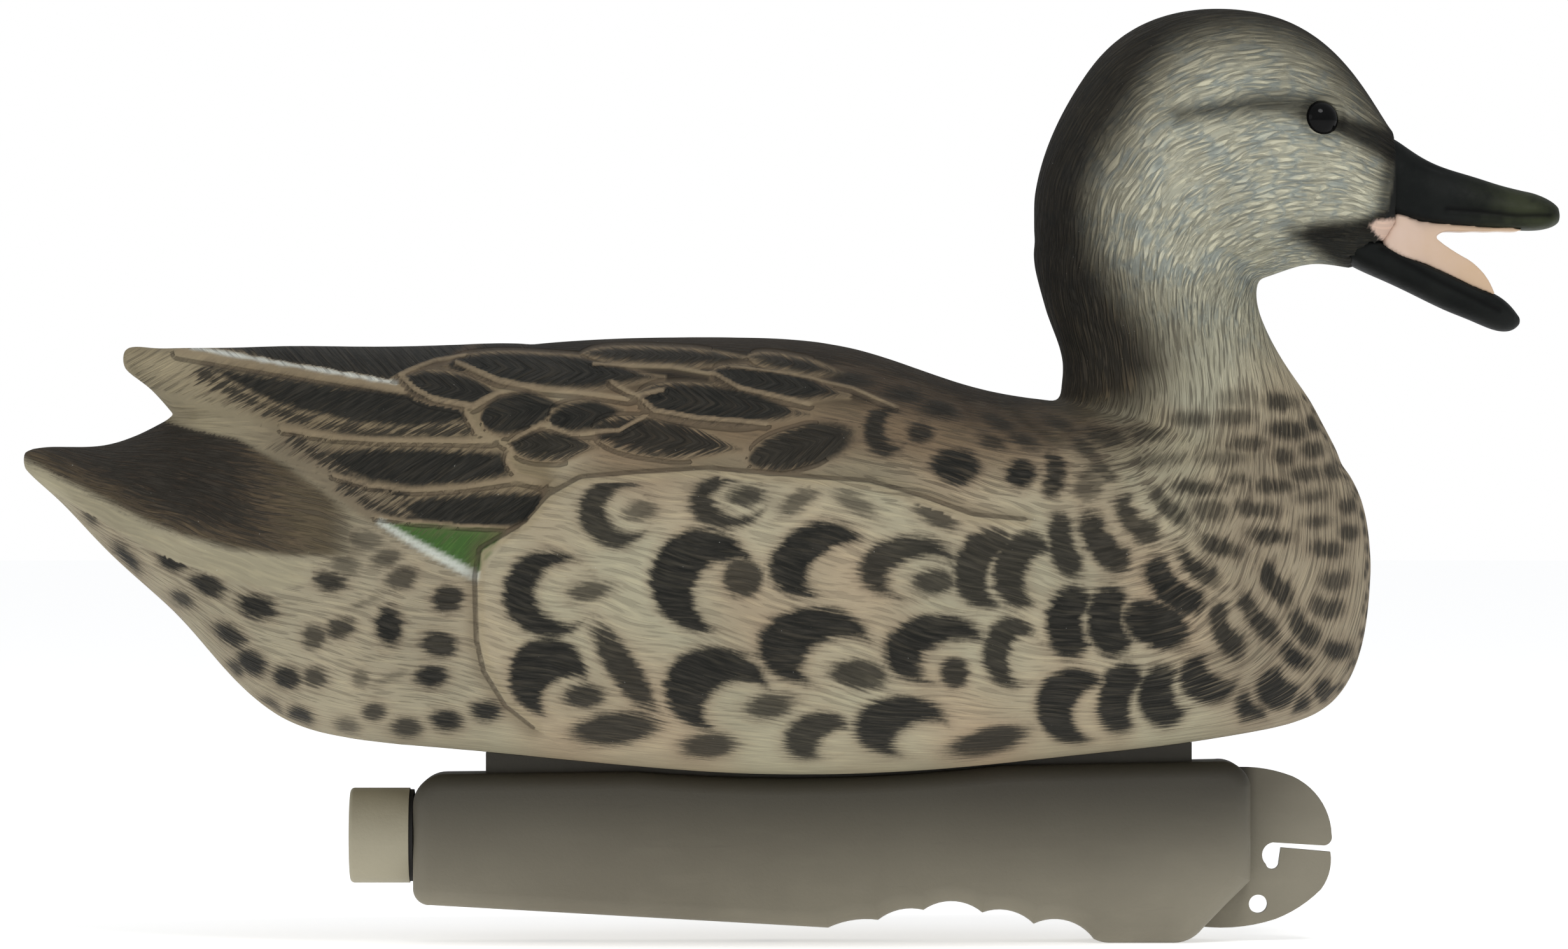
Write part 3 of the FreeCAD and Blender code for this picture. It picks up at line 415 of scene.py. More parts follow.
# Rear edge of the folded wing.
WING_REAR = ((-175, 132), (-152, 122.6), (-140, 119), (-128.5, 116.5), (-117, 110.4),
             (-108, 104), (-101, 98.8), (-96, 95.6), (-86, 90.2), (-73.6, 83.6))
# Raised rear and top edge of the flank panel, and the area in front of the first.
FLANK_EDGE = ((-56.6, 105), (-62, 97), (-72.4, 91), (-73.4, 84), (-73, 70),
              (-71.4, 63), (-66.4, 55), (-60, 50))
FLANK_TOP = ((-62, 97), (-56.6, 103), (-49, 107.4), (-36, 108.6), (-20, 109.6),
             (-8, 108.6), (6, 107.4), (18, 106.6), (30, 103.2), (42, 98.8),
             (54, 97.6))
FLANK_EDGE_PATCH = ((-56.6, 105), (-62, 97), (-72.4, 91), (-73.4, 84), (-73, 70),
                    (-60, 50), (90, 40), (90, 104))
# Height of the back's dark crest at places along the body.
CREST_AT = (-150, -100, -50, 0, 25, 45, 60, 75, 95)
CREST_HEIGHT = (150, 150, 136, 133, 130, 126, 121.5, 124, 140)
# Edge of the dark crown and nape, and soft dark strokes of the face: path, half thickness, how it
# tapers, softness and strength.
CROWN_LINE = ((66, 121), (80, 126.5), (85, 133.8), (80.5, 142.2), (74.5, 150.7),
              (70.5, 159.2), (68.5, 167.7), (69, 176.2), (73, 184.7), (78, 193.2),
              (83, 201.7), (88.5, 208), (96, 211.6), (107, 212.4), (115, 210.8),
              (123.5, 206.3), (130, 199.3), (135, 192.3), (139.5, 187), (141, 185))
HEAD_SHADES = (
    (((90, 192), (100, 193.6), (108, 194.6), (115, 194.6), (121, 193)), 2.6, (0.4, 1.1),
     3.2, 0.82),
    (((124, 190.8), (131, 188.4), (141, 184.2)), 2.4, (0.6, 1.35), 2, 0.95),
    # The next stroke, along the bill's base, is painted shade in the crease where head and bill meet.
    (((141.4, 187), (140, 178), (138.4, 168)), 2.4, (1.1, 1), 2.4, 0.8),
    (((138, 160.5), (131, 160.6), (124, 162.8), (117, 164.4)), 7.6, (1.1, 0.12), 3.6, 0.97),
    (((137, 166.8), (129, 165.8), (121, 164.8)), 1.8, (1, 0.5), 2, 0.9),
)
# Where the black of the bill runs over onto the head, and where the pink of the mouth does.
BILL_PAINT = ((146, 190), (141.2, 187.4), (140.3, 181), (139.8, 176.2), (138.6, 170.3),
              (137.5, 167.4), (146, 167.4))
MOUTH_PAINT = ((134.3, 166.2), (135.8, 167.5), (141.5, 168), (141.5, 160), (138, 161.8))
# Edge between the tail's dark top and its underside.
TAIL_RIM = ((-178.5, 111.6), (-171, 107.6), (-160, 102.2), (-150, 97), (-141.7, 93.6),
            (-130, 90.6), (-118, 89), (-104, 88.6))
# Paint colours of the skin, 0 to 255.
CREAM = (159, 153, 130)
PEACH = (158, 142, 118)
RUMP_CREAM = (148, 140, 119)
BREAST_CREAM = (149, 138, 117)
SHOULDER_BROWN = (102, 84, 64)
CREST_BROWN = (31, 28, 24)
WING_BROWN = (120, 108, 85)
WING_PALE = (146, 137, 113)
WING_DULL = (114, 104, 86)
WING_TIP = (150, 140, 116)
COVERT_EDGE = (124, 110, 87)
RIDGE_PALE = (138, 124, 100)
FRINGE_WHITE = (196, 198, 190)
GREEN = (64, 93, 47)
RIM_WHITE = (186, 190, 180)
TAIL_DARK = (27, 25, 22)
TAIL_BROWN = (86, 77, 61)
STRIPE_CREAM = (150, 143, 120)
SEAM_SHADOW = (92, 80, 62)
LIP_CREAM = (150, 138, 113)
HEAD_PALE = (190, 187, 165)
HEAD_CREAM = (161, 158, 138)
NECK_BUFF = (158, 147, 124)
CROWN_EDGE = (88, 78, 61)
CROWN_BLACK = (36, 34, 30)
NAPE_GREY = (58, 55, 48)
FOOT_BROWN = (84, 74, 58)
FACE_BLACK = (26, 25, 22)
BILL_BLACK = (27, 28, 27)
MOUTH_FLESH = (198, 172, 156)
# Centre of the eyes, and the height at which the skin is parted into hull and head.
EYE = (122.4, 190.7)
NECK_PLANE = 128.0
# The tables are drawn as on a flat sheet held this far off, so a side that bulges shrinks them.
SHEET = 2026.0
SHEET_MIDDLE = (-1.8, 108.4)


def to_path(x, z, path):
    """Distance to an open line, signed positive above or right of it, and how far along it is."""
    best = np.full(len(x), 1e9)
    side = np.ones(len(x))
    share = np.zeros(len(x))
    for number in range(len(path) - 1):
        start = np.array(path[number])
        run = np.array(path[number + 1]) - start
        length = math.hypot(*run)
        along = np.clip(((x - start[0]) * run[0] + (z - start[1]) * run[1]) / length ** 2, 0, 1)
        away = np.hypot(x - start[0] - along * run[0], z - start[1] - along * run[1])
        nearer = away < best
        best = np.where(nearer, away, best)
        cross = run[0] * (z - start[1]) - run[1] * (x - start[0])
        side = np.where(nearer, np.sign(cross), side)
        share = np.where(nearer, (number + along) / (len(path) - 1), share)
    return best * side, share


def in_oval(ahead, rise, long, tall):
    """Depth inside an oval, negative outside."""
    return (1.0 - np.sqrt((ahead / long) ** 2 + (rise / tall) ** 2)) * min(long, tall)


def in_mark(x, z, mark):
    """Signed distance into a painted mark, positive inside, less the bite of a crescent."""
    at, up, long, tall, tilt, *bite, _ = mark
    turn = math.radians(tilt)
    ahead = (x - at) * math.cos(turn) + (z - up) * math.sin(turn)
    rise = (z - up) * math.cos(turn) - (x - at) * math.sin(turn)
    depth = in_oval(ahead, rise, long, tall)
    if bite:
        hole = in_oval(ahead - bite[0], rise - bite[1], long * 0.84, tall * 0.76)
        depth = np.minimum(depth, -hole)
    return depth


def half_width(share):
    """Outline of a feather: narrow at its root, widest past the middle, rounded at its tip."""
    root = step_up(-0.05, 0.45, share) * np.sqrt(np.clip(share / 0.14, 0, 1))
    tip = np.sqrt(np.clip(1.0 - np.clip((share - 0.62) / 0.38, 0, 1) ** 2.2, 0, 1))
    return np.where((share >= 0) & (share <= 1), (0.1 + 0.9 * root) * tip, 0.0)


def in_patch(x, z, corners):
    """Signed distance into a closed outline, positive inside."""
    best = np.full(len(x), 1e9)
    inside = np.zeros(len(x), bool)
    for number, start in enumerate(corners):
        end = corners[(number + 1) % len(corners)]
        run_x, run_z = end[0] - start[0], end[1] - start[1]
        share = ((x - start[0]) * run_x + (z - start[1]) * run_z) / (run_x ** 2 + run_z ** 2)
        share = np.clip(share, 0, 1)
        best = np.minimum(best, np.hypot(x - start[0] - share * run_x, z - start[1] - share * run_z))
        spans = (start[1] > z) != (end[1] > z)
        reach = run_x * (z - start[1]) / (run_z or 1e-9) + start[0]
        inside ^= spans & (x < reach)
    return np.where(inside, best, -best)


def line_depth(x, z, path, half, ends=(1.0, 1.0)):
    """How deep inside a line of the given half thickness, which may taper to its ends."""
    away, share = to_path(x, z, path)
    thickness = half * (ends[0] + (ends[1] - ends[0]) * share)
    return thickness - np.abs(away)


def colour(red, green, blue):
    """Linear colour from the usual 0 to 255 values."""
    shades = np.array([red, green, blue]) / 255.0
    return np.where(shades > 0.04045, ((shades + 0.055) / 1.055) ** 2.4, shades / 12.92)


# ---- The skin of hull and head ----------------------------------------------------------------

# Angles at which barbs leave the shafts of the long feathers, the smaller ones and the green patch.
VANE_SLANT = math.radians(38.0)
COVERT_SLANT = math.radians(30.0)
GREEN_SLANT = math.radians(50.0)
SKIN_VOXEL = 0.0009
SKIN_SMOOTHING = 22
# Depth where there is no dark mark, distance where there is no carved line, strength of full black.
NO_MARK = -3.0
NO_SEAM = 3.0
FULL_INK = 1.0
# Ellipsoids that close the openings at the mouth, the eyes and the keel: centre and radii.
SKIN_FILLERS = (
    ((131, 0, 171), (7.5, 8, 11)), ((128, 0, 163.5), (7, 7.5, 6)),
    ((122.4, 12.5, 190.7), (3, 3, 3)), ((122.4, -12.5, 190.7), (3, 3, 3)),
    ((-96, 0, 49.5), (4.5, 4.5, 2)),
)
# How far the feather lines drop toward the tail at each place along a slanted ruler, in degrees.
LIE_AT = (-140, -90, -50, 30, 52, 66, 75, 85, 95, 105, 115, 125, 132)
LIE_TURN = (-24, -12, -20, -18, -16, -8, 6, 20, 40, 56, 74, 86, 90)
# The same on neck and head: place and the direction of the tips in degrees, from +X toward +Z.
HEAD_LIE = (
    (123.5, 170, 184), (106.4, 163, 205), (102, 171, 190), (89.4, 167.5, 215),
    (94.5, 182, 190), (76.6, 178.6, 220), (68, 163, 243), (60, 172, 256),
    (62, 186, 240), (84, 147, 272), (102, 142, 264), (72, 147, 262),
    (106, 156, 236), (106, 210, 180), (85, 201.6, 200), (72, 194, 226),
    (123.5, 206, 148), (132, 193, 130), (134, 180, 156), (133, 171, 176),
    (119, 184.6, 174), (113, 172.6, 184), (122, 161, 196), (96, 155, 235),
    (112, 134, 284), (100, 130, 268), (86, 132, 268), (72, 134, 262),
    (118, 126, 290),
)


def head_lie(x, z):
    """Direction of the tips on neck and head, blended from the places above."""
    total = np.zeros(len(x))
    weight = np.zeros(len(x))
    for at, up, turn in HEAD_LIE:
        near = 1.0 / ((x - at) ** 2 + (z - up) ** 2 + 16.0) ** 1.6
        total += near * turn
        weight += near
    return np.radians(total / weight)


def lie(x, z):
    """Direction in which feather tips point on the side view, as an angle."""
    ruler = x + 0.5 * (z - 80.0)
    turn = np.interp(ruler, LIE_AT, LIE_TURN)
    turn = turn + 10.0 * step_up(66.0, 48.0, z) * step_up(60.0, 30.0, x)
    back = step_up(104.0, 116.0, z) * step_up(84.0, 60.0, x) * step_up(134.0, 121.0, z)
    turn = turn * (1 - back) - 6.0 * back
    return np.radians(180.0 + turn)


def spacing(x, z):
    """Size of the feathers: small at the breast and the rump, long on the flank."""
    size = np.interp(x, (-150, -75, -62, 40, 62, 90, 130), (8.0, 8.0, 13.0, 13.0, 10.5, 7.5, 6.0))
    return np.where(z > 108.0, np.minimum(size, 8.0), size) - 1.6 * step_up(95.0, 120.0, z)


def lay_feathers(places, normals, chance):
    """Feather centres over one side with even gaps, each with its two axes and its size."""
    wanted = np.flatnonzero((places[:, 1] < 0.6) & (places[:, 2] < 127.5))
    chosen = chance.permutation(wanted)[:9000]
    kept = np.zeros((0, 3))
    rows = []
    for row in chosen:
        spot = places[row]
        size = float(spacing(spot[0], spot[2]))
        if len(kept) and (((kept - spot) ** 2).sum(axis=1) < (0.62 * size) ** 2).any():
            continue
        kept = np.vstack([kept, spot])
        rows.append(row)
    feathers = []
    for row in rows:
        spot = places[row]
        up = normals[row]
        tip = flow_vector(spot)
        tip = tip - up * (tip @ up)
        tip /= max(np.linalg.norm(tip), 1e-6)
        feathers.append((spot, tip, np.cross(up, tip), float(spacing(spot[0], spot[2]))))
    return feathers


def flow_vector(spot):
    turn = float(lie(spot[0], spot[2]))
    return np.array([math.cos(turn), 0.0, math.sin(turn)])


def centre_spots(places, normals):
    """How deep inside the dark centre of the small feather that each place belongs to."""
    chance = np.random.default_rng(SEED)
    feathers = lay_feathers(places, normals, chance)
    spots = np.full(len(places), NO_MARK)
    order = np.argsort(places[:, 0])
    line = places[order, 0]
    for spot, tip, side, size in feathers:
        reach = 1.25 * size
        rows = order[np.searchsorted(line, spot[0] - reach):np.searchsorted(line, spot[0] + reach)]
        from_spot = places[rows] - spot
        along, across = from_spot @ tip, from_spot @ side
        near = (from_spot ** 2).sum(axis=1) < reach ** 2
        centre = np.sqrt(((along - 0.24 * size) / (0.2 * size)) ** 2 + (across / (0.36 * size)) ** 2)
        depth = np.where(near, (1 - centre) * 0.2 * size, NO_MARK)
        spots[rows] = np.maximum(spots[rows], depth)
    return spots


def relax(value, places, direction, pairs, rounds):
    """Conjugate gradients for a field whose slope follows the direction along every edge."""
    start, end = pairs
    count = len(places)
    wanted = 0.5 * ((direction[start] + direction[end]) * (places[end] - places[start])).sum(axis=1)
    load = np.bincount(end, wanted, count) - np.bincount(start, wanted, count)
    degree = np.bincount(start, minlength=count) + np.bincount(end, minlength=count)
    degree = np.maximum(degree, 1)

    def stiffness(field):
        step = field[end] - field[start]
        return np.bincount(end, step, count) - np.bincount(start, step, count)

    rest = load - stiffness(value)
    scaled = rest / degree
    search = scaled.copy()
    energy = rest @ scaled
    for _ in range(rounds):
        push = stiffness(search)
        size = energy / max(search @ push, 1e-20)
        value = value + size * search
        rest = rest - size * push
        scaled = rest / degree
        after = rest @ scaled
        search = scaled + (after / max(energy, 1e-20)) * search
        energy = after
    return value


def barb_lines(places, facing, edges):
    """Coordinates along and across the barbs, which run unbroken from the bill to the tail."""
    x, z = places[:, 0], places[:, 2]
    half = len(edges[0]) // 2
    pairs = (edges[0][:half], edges[1][:half])
    turn = lie(x, z)
    sway = np.sin(x * 0.21 + 1.7 * np.sin(z * 0.09)) * np.sin(z * 0.27 + 0.6 + np.sin(x * 0.06))
    turn = turn + np.radians(17.0) * sway * step_up(118.0, 100.0, z)
    sway = 0.2 * np.sin(x * 0.36 + 0.9 * np.sin(z * 0.24)) * np.sin(z * 0.44 + x * 0.12)
    high = step_up(121.0, 133.0, z) * step_up(50.0, 60.0, x)
    turn = turn * (1 - high) + (head_lie(x, z) + sway) * high
    run = np.stack([np.cos(turn), np.zeros(len(x)), np.sin(turn)], axis=1)
    run = run - facing * (run * facing).sum(axis=1, keepdims=True)
    run /= np.maximum(np.linalg.norm(run, axis=1, keepdims=True), 1e-6)
    over = np.cross(run, facing)

    cell = np.floor(places / 6.0).astype(np.int64) + 60
    _, group = np.unique(cell @ np.array([1, 1000, 1000000]), return_inverse=True)
    group = group.ravel()
    number = group.max() + 1
    weight = np.bincount(group, minlength=number)
    middle = np.stack([np.bincount(group, places[:, axis], number) / weight for axis in range(3)], 1)
    links = np.unique(np.sort(np.stack([group[pairs[0]], group[pairs[1]]], 1), axis=1), axis=0)
    links = links[links[:, 0] != links[:, 1]]
    lines = []
    for slope in (run, over):
        heading = np.stack([np.bincount(group, slope[:, axis], number) / weight
                            for axis in range(3)], 1)
        heading /= np.maximum(np.linalg.norm(heading, axis=1, keepdims=True), 0.3)
        coarse = relax(np.zeros(number), middle, heading, (links[:, 0], links[:, 1]), 400)
        guess = coarse[group] + ((places - middle[group]) * heading[group]).sum(axis=1)
        lines.append(relax(guess, places, slope, pairs, 110))
    return np.stack(lines + [np.zeros(len(x))], axis=1)


def vane_flow(x, z, root, tip, slant):
    """Barb coordinates of a long feather, whose barbs leave the shaft at a slant."""
    run_x, run_z = tip[0] - root[0], tip[1] - root[1]
    length = math.hypot(run_x, run_z)
    run_x, run_z = run_x / length, run_z / length
    along = (x - root[0]) * run_x + (z - root[1]) * run_z
    across = (x - root[0]) * run_z - (z - root[1]) * run_x
    outward = np.abs(across)
    return (along * math.cos(slant) + outward * math.sin(slant),
            outward * math.cos(slant) - along * math.sin(slant), along / length, across)


def folded(vectors):
    """The same vectors, mirrored onto the side that the photo shows."""
    return vectors * (1, 0, 1) - np.abs(vectors[:, 1:2]) * (0, 1, 0)


class Skin:
    """Dense skin over hull and head, with what is painted on it and raised from it.

    Both sides are laid out at once: x and z are where a place lands on the sheet of the tables.
    The layers below give it its tint, furrows, marks, carved lines and relief, one after another.
    """

    def __init__(self):
        shells = [NODES["hull_shell"], NODES["head_shell"]]
        places, self.quads = remeshed("bird", shells, SKIN_FILLERS, SKIN_VOXEL)
        self.edges = neighbours(self.quads)
        self.places = smooth(places, self.edges, SKIN_SMOOTHING)
        self.normals = normals_of(self.places, self.quads)
        self.near_side = folded(self.places)
        facing = folded(self.normals)
        self.barbs = barb_lines(self.near_side, facing, self.edges)
        self.spots = centre_spots(self.near_side, facing)
        self.out = -self.near_side[:, 1]
        spread = SHEET / (SHEET - self.out)
        self.x = SHEET_MIDDLE[0] + (self.near_side[:, 0] - SHEET_MIDDLE[0]) * spread
        self.z = SHEET_MIDDLE[1] + (self.near_side[:, 2] - SHEET_MIDDLE[1]) * spread
        self.sideways = np.abs(facing[:, 1])
        self.on_side = self.sideways > 0.1
        self.upward = facing[:, 2]
        self.count = len(places)
        self.depth = np.full(self.count, NO_MARK)
        self.strength = np.zeros(self.count)
        self.streak = np.full(self.count, 0.75)
        self.dash = np.zeros(self.count)
        self.relief = np.zeros(self.count)
        self.seam = np.full(self.count, NO_SEAM)

    def tone(self, shade, share):
        """Mixes a colour, given as 0 to 255 or as one for each place, into the tint."""
        shade = colour(*shade) if isinstance(shade, tuple) else shade
        self.tint = mix(self.tint, shade, share)

    def ink(self, depth, strength, streak=None):
        """Adds a dark mark wherever it lies deeper than those before it."""
        deeper = depth > self.depth
        self.strength[deeper] = strength
        if streak is not None:
            self.streak[deeper] = streak
        self.depth = np.maximum(self.depth, depth)

    def clear(self, where):
        """Takes dark marks away."""
        self.depth[where] = -2.0

    def carve(self, distance):
        """Adds a carved line, given how far each place is from it."""
        self.seam = np.where(self.on_side, np.minimum(self.seam, distance), self.seam)

    def turn_barbs(self, here, flow, number):
        """Gives one feather barbs of its own, which part from its neighbours'."""
        self.barbs[here, 0] = flow[0][here]
        self.barbs[here, 1] = flow[1][here]
        self.barbs[here, 2] = number

    def fields(self):
        """What the materials read at each place."""
        mark = np.stack([np.clip(self.depth, NO_MARK, 3), self.strength, self.streak], axis=1)
        fur = np.stack([self.groove, self.dash, np.clip(self.seam, 0, NO_SEAM)], axis=1)
        return {"barb": self.barbs, "tint": self.tint, "mark": mark, "fur": fur}


def paint_marks(skin):
    """Painted marks from the tables, kept to where the skin faces sideways."""
    for mark in FLANK_MARKS + SHOULDER_MARKS + BREAST_MARKS + RUMP_MARKS:
        depth = in_mark(skin.x, skin.z, mark) + 0.25
        least = 0.34 if mark[0] > 105.0 else 0.2
        skin.ink(np.minimum(depth, (skin.sideways - least) * 12.0), mark[-1])


def paint_ground(skin):
    """Cream and peach ground with its furrows, and the breast's spots beyond the tables' reach."""
    x, z = skin.x, skin.z
    skin.groove = 0.42 + 0.54 * step_up(70.0, 96.0, x) + 0.16 * step_up(-64.0, -84.0, x)
    skin.groove += 0.4 * step_up(5.0, 25.0, x) * step_up(98.0, 105.0, z) * step_up(95.0, 75.0, x)
    ripple = np.sin(x * 0.071 + 1.3) * np.sin(z * 0.093 + 0.4) + 0.5 * np.sin(x * 0.19 + z * 0.13)
    skin.tint = mix(colour(*CREAM), colour(*PEACH), np.clip(0.35 + 0.45 * ripple, 0, 1))
    skin.tone(RUMP_CREAM, step_up(-62.0, -80.0, x) * 0.8)
    skin.tone(BREAST_CREAM, step_up(88.0, 110.0, x))
    breast = step_up(105.0, 118.0, x) * step_up(0.42, 0.3, skin.sideways) * (skin.upward > -0.75)
    skin.ink(np.where(breast > 0.5, skin.spots, NO_MARK), 0.9)


def paint_back(skin):
    """Brown shoulder and back, darker toward the crest, with faint spots on top."""
    x, z = skin.x, skin.z
    crest = np.interp(x, CREST_AT, CREST_HEIGHT)
    back = step_up(-7.0, 2.5, z - crest + 6 * step_up(0.5, 0.95, skin.upward))
    back = back * (z > 100) * (x < 96)
    shoulder = step_up(100.0, 118.0, z) * step_up(70.0, 50.0, x) * step_up(-62.0, -40.0, x)
    skin.tone(SHOULDER_BROWN, shoulder * 0.85)
    skin.tone(CREST_BROWN, back * 0.95)
    on_top = (skin.upward > 0.86) & (x < 30) & (z > 116)
    skin.ink(np.where(on_top, skin.spots + 0.5, NO_MARK), 0.6)


def paint_wing(skin):
    """Ground of the folded wing, pale toward its rear edge and its tip."""
    x, z = skin.x, skin.z
    behind, _ = to_path(x, z, WING_REAR)
    wing = step_up(-1.2, 1.2, behind) * step_up(-52.0, -58.0, x) * step_up(80.0, 84.0, z)
    skin.wing = wing * step_up(-1.0, 0.5, -in_patch(x, z, FLANK_EDGE_PATCH))
    skin.in_wing = skin.wing > 0.5
    pale = mix(colour(*WING_PALE), colour(*WING_DULL), step_up(-138, -116, x))
    ground = mix(colour(*WING_BROWN), pale, step_up(12.0, 3.0, behind))
    skin.tone(ground, skin.wing * 0.95)
    crest = step_up(131.0, 136.0, z) * step_up(-104.0, -94.0, x) * step_up(-42.0, -50.0, x)
    skin.tone(CREST_BROWN, crest)
    skin.depth[skin.in_wing] = NO_MARK
    skin.groove[skin.in_wing] = 0.25
    pale_tip = step_up(-118.0, -150.0, x) * skin.wing * step_up(142.0, 133.0, z)
    skin.tone(WING_TIP, pale_tip * 0.8)


def paint_vanes(skin):
    """Long wing feathers: their own barbs, their dark vanes, and barbs that run out of these."""
    x, z, in_wing = skin.x, skin.z, skin.in_wing
    for number, (root, tip, area) in enumerate(VANE_AREAS):
        here = in_wing & (in_patch(x, z, area) > 0)
        flow = vane_flow(x, z, root, tip, VANE_SLANT)
        skin.turn_barbs(here, flow, 400.0 + 13.0 * number)
        skin.groove[here] = 0.7
        skin.streak[here] = 0.7
    for vane in VANES:
        depth = np.where(in_wing, in_patch(x, z, vane), NO_MARK)
        skin.ink(depth, FULL_INK)
        skin.streak[depth > -0.8] = 0.75
    for path, half in LONG_BARBS:
        depth = line_depth(x, z, path, half) - 1.4
        skin.ink(np.where(in_wing, depth, NO_MARK), 0.9, 2.2)


def paint_coverts(skin):
    """Smaller wing feathers, each with its own barbs, dark vane, pale edge and rounded form."""
    x, z = skin.x, skin.z
    zone = (z > 104) & (x > -94) & (x < 30) & (skin.sideways > 0.12)
    for number, (tip_x, tip_z, root_x, root_z, half, power, ragged) in enumerate(COVERTS):
        flow = vane_flow(x, z, (root_x, root_z), (tip_x, tip_z), COVERT_SLANT)
        share, across = flow[2], flow[3]
        vane = half_width(np.clip(share, 0, 1)) * half - np.abs(across)
        vane = np.where((share > -0.02) & (share < 1.02) & zone, vane, NO_MARK)
        cell = vane > -0.9
        skin.turn_barbs(cell, flow, 600.0 + 11.0 * number)
        depth = vane - 0.5
        wins = cell & (depth > -1.0)
        under = np.where(skin.in_wing, NO_MARK, skin.depth)
        skin.depth = np.where(wins, np.maximum(depth, under), skin.depth)
        skin.strength[wins] = power
        skin.streak[wins] = ragged
        skin.groove[cell] = 0.75
        edge = step_up(-1.0, 0.2, vane) * step_up(1.6, 0.2, vane)
        skin.tone(COVERT_EDGE, np.where(cell, edge * 0.8, 0.0))
        skin.seam[cell] = NO_SEAM
        rounded = (share > 0.3) & (share < 1.1) & (vane > -2.4)
        outline = np.minimum(skin.seam, np.abs(vane + 0.7) * 1.4)
        skin.seam = np.where(rounded, outline, skin.seam)
        form = skin.relief * 0.3 + 0.5 * step_up(-1.0, 1.8, vane)
        skin.relief = np.where(cell, form, skin.relief)


def raise_ridges(skin):
    """Pale ridges between the wing feathers, each with a dark line beside it."""
    steep = step_up(0.1, 0.25, skin.sideways)
    for path, half in RIDGES:
        aside, _ = to_path(skin.x, skin.z, path)
        away = np.abs(aside)
        ridge = step_up(half * 1.35, half * 0.1, away) * steep
        skin.tone(RIDGE_PALE, ridge * 0.8)
        skin.depth = np.where(ridge > 0.15, np.minimum(skin.depth, away - half), skin.depth)
        skin.streak[(away < half * 1.7) & skin.on_side] = 0.15
        skin.relief += 0.36 * step_up(half * 1.7, 0.0, away) * steep
        skin.groove = skin.groove * (1 - 0.8 * ridge)
        skin.seam = np.where(away < half * 1.1, np.maximum(skin.seam, 1.0), skin.seam)
        skin.carve(np.abs(aside + half * 1.35) * 1.6)


def paint_fringe(skin):
    """White fringe over the wing's top ridge."""
    wobble = 0.14 * np.sin(skin.x * 0.9 + 1.9 * np.sin(skin.x * 0.31))
    fringe = line_depth(skin.x, skin.z, FRINGE, 0.62) - 0.05 + wobble
    white = step_up(-0.5, 0.6, fringe) * skin.in_wing
    skin.tone(FRINGE_WHITE, white)
    skin.clear(white > 0.3)


def paint_speculum(skin):
    """Green patch of the wing and its white rim."""
    x, z = skin.x, skin.z
    shown = skin.sideways > 0.2
    green = in_patch(x, z, SPECULUM)
    flow = vane_flow(x, z, (-66.0, 96.0), (-96.0, 97.6), GREEN_SLANT)
    skin.turn_barbs(green > 0, flow, 333.0)
    skin.tone(GREEN, step_up(-0.35, 0.35, green) * shown)
    skin.depth = np.where(green > -0.6, np.minimum(skin.depth, -1.2), skin.depth)
    rim = step_up(-0.65, 0.6, line_depth(x, z, SPECULUM_RIM, 0.95, (0.6, 1.2))) * shown
    skin.tone(RIM_WHITE, rim)
    skin.clear(rim > 0.2)
    skin.relief += 0.4 * rim
    skin.groove = skin.groove * (1 - rim)


def paint_tail(skin):
    """Dark brown top of the tail, and the cream stripe along its edge."""
    x = skin.x
    aside, _ = to_path(x, skin.z, TAIL_RIM)
    tail = step_up(-0.4, 1.6, aside) * step_up(-97.0, -109.0, x) * (1 - skin.wing)
    lighter = np.maximum(step_up(-136, -108, x), 0.7 * step_up(8.0, 0.0, aside))
    skin.tone(mix(colour(*TAIL_DARK), colour(*TAIL_BROWN), lighter), tail)
    here = tail > 0.5
    skin.depth = np.where(here, 1.6 - 4.4 * lighter, skin.depth)
    skin.strength[here] = 0.8
    skin.streak[here] = 2.2
    skin.groove[here] = 0.9
    half = np.interp(x, (-178, -150, -120, -104), (1.6, 2.6, 4.0, 1.5))
    stripe = step_up(0.4, -0.8, np.abs(aside + half) - half) * step_up(-108.0, -117.0, x)
    skin.tone(STRIPE_CREAM, stripe)
    skin.clear(stripe > 0.4)
    skin.groove[stripe > 0.4] = 0.12
    skin.relief[stripe > 0.4] = 0.0


def carve_flank(skin):
    """Raised edge of the flank panel, with a fine dark seam."""
    for path, turn in ((FLANK_EDGE, 1), (FLANK_TOP, -1)):
        away, _ = to_path(skin.x, skin.z, path)
        inner = turn * away
        near = skin.on_side * np.exp(-(away / 30.0) ** 2)
        skin.relief += 0.8 * step_up(-0.7, 1.0, inner) * np.exp(-np.maximum(inner, 0) / 9.0) * near
        skin.carve(np.abs(inner + 0.3) * 1.2)
        shadow = step_up(-4.5, -0.4, inner) * step_up(0.6, -0.4, inner) * skin.on_side
        skin.tone(SEAM_SHADOW, shadow * 0.5)
        lip = step_up(0.2, 0.8, inner) * step_up(2.6, 1.2, inner) * skin.on_side
        skin.tone(LIP_CREAM, lip * 0.8)
        skin.clear(lip > 0.4)


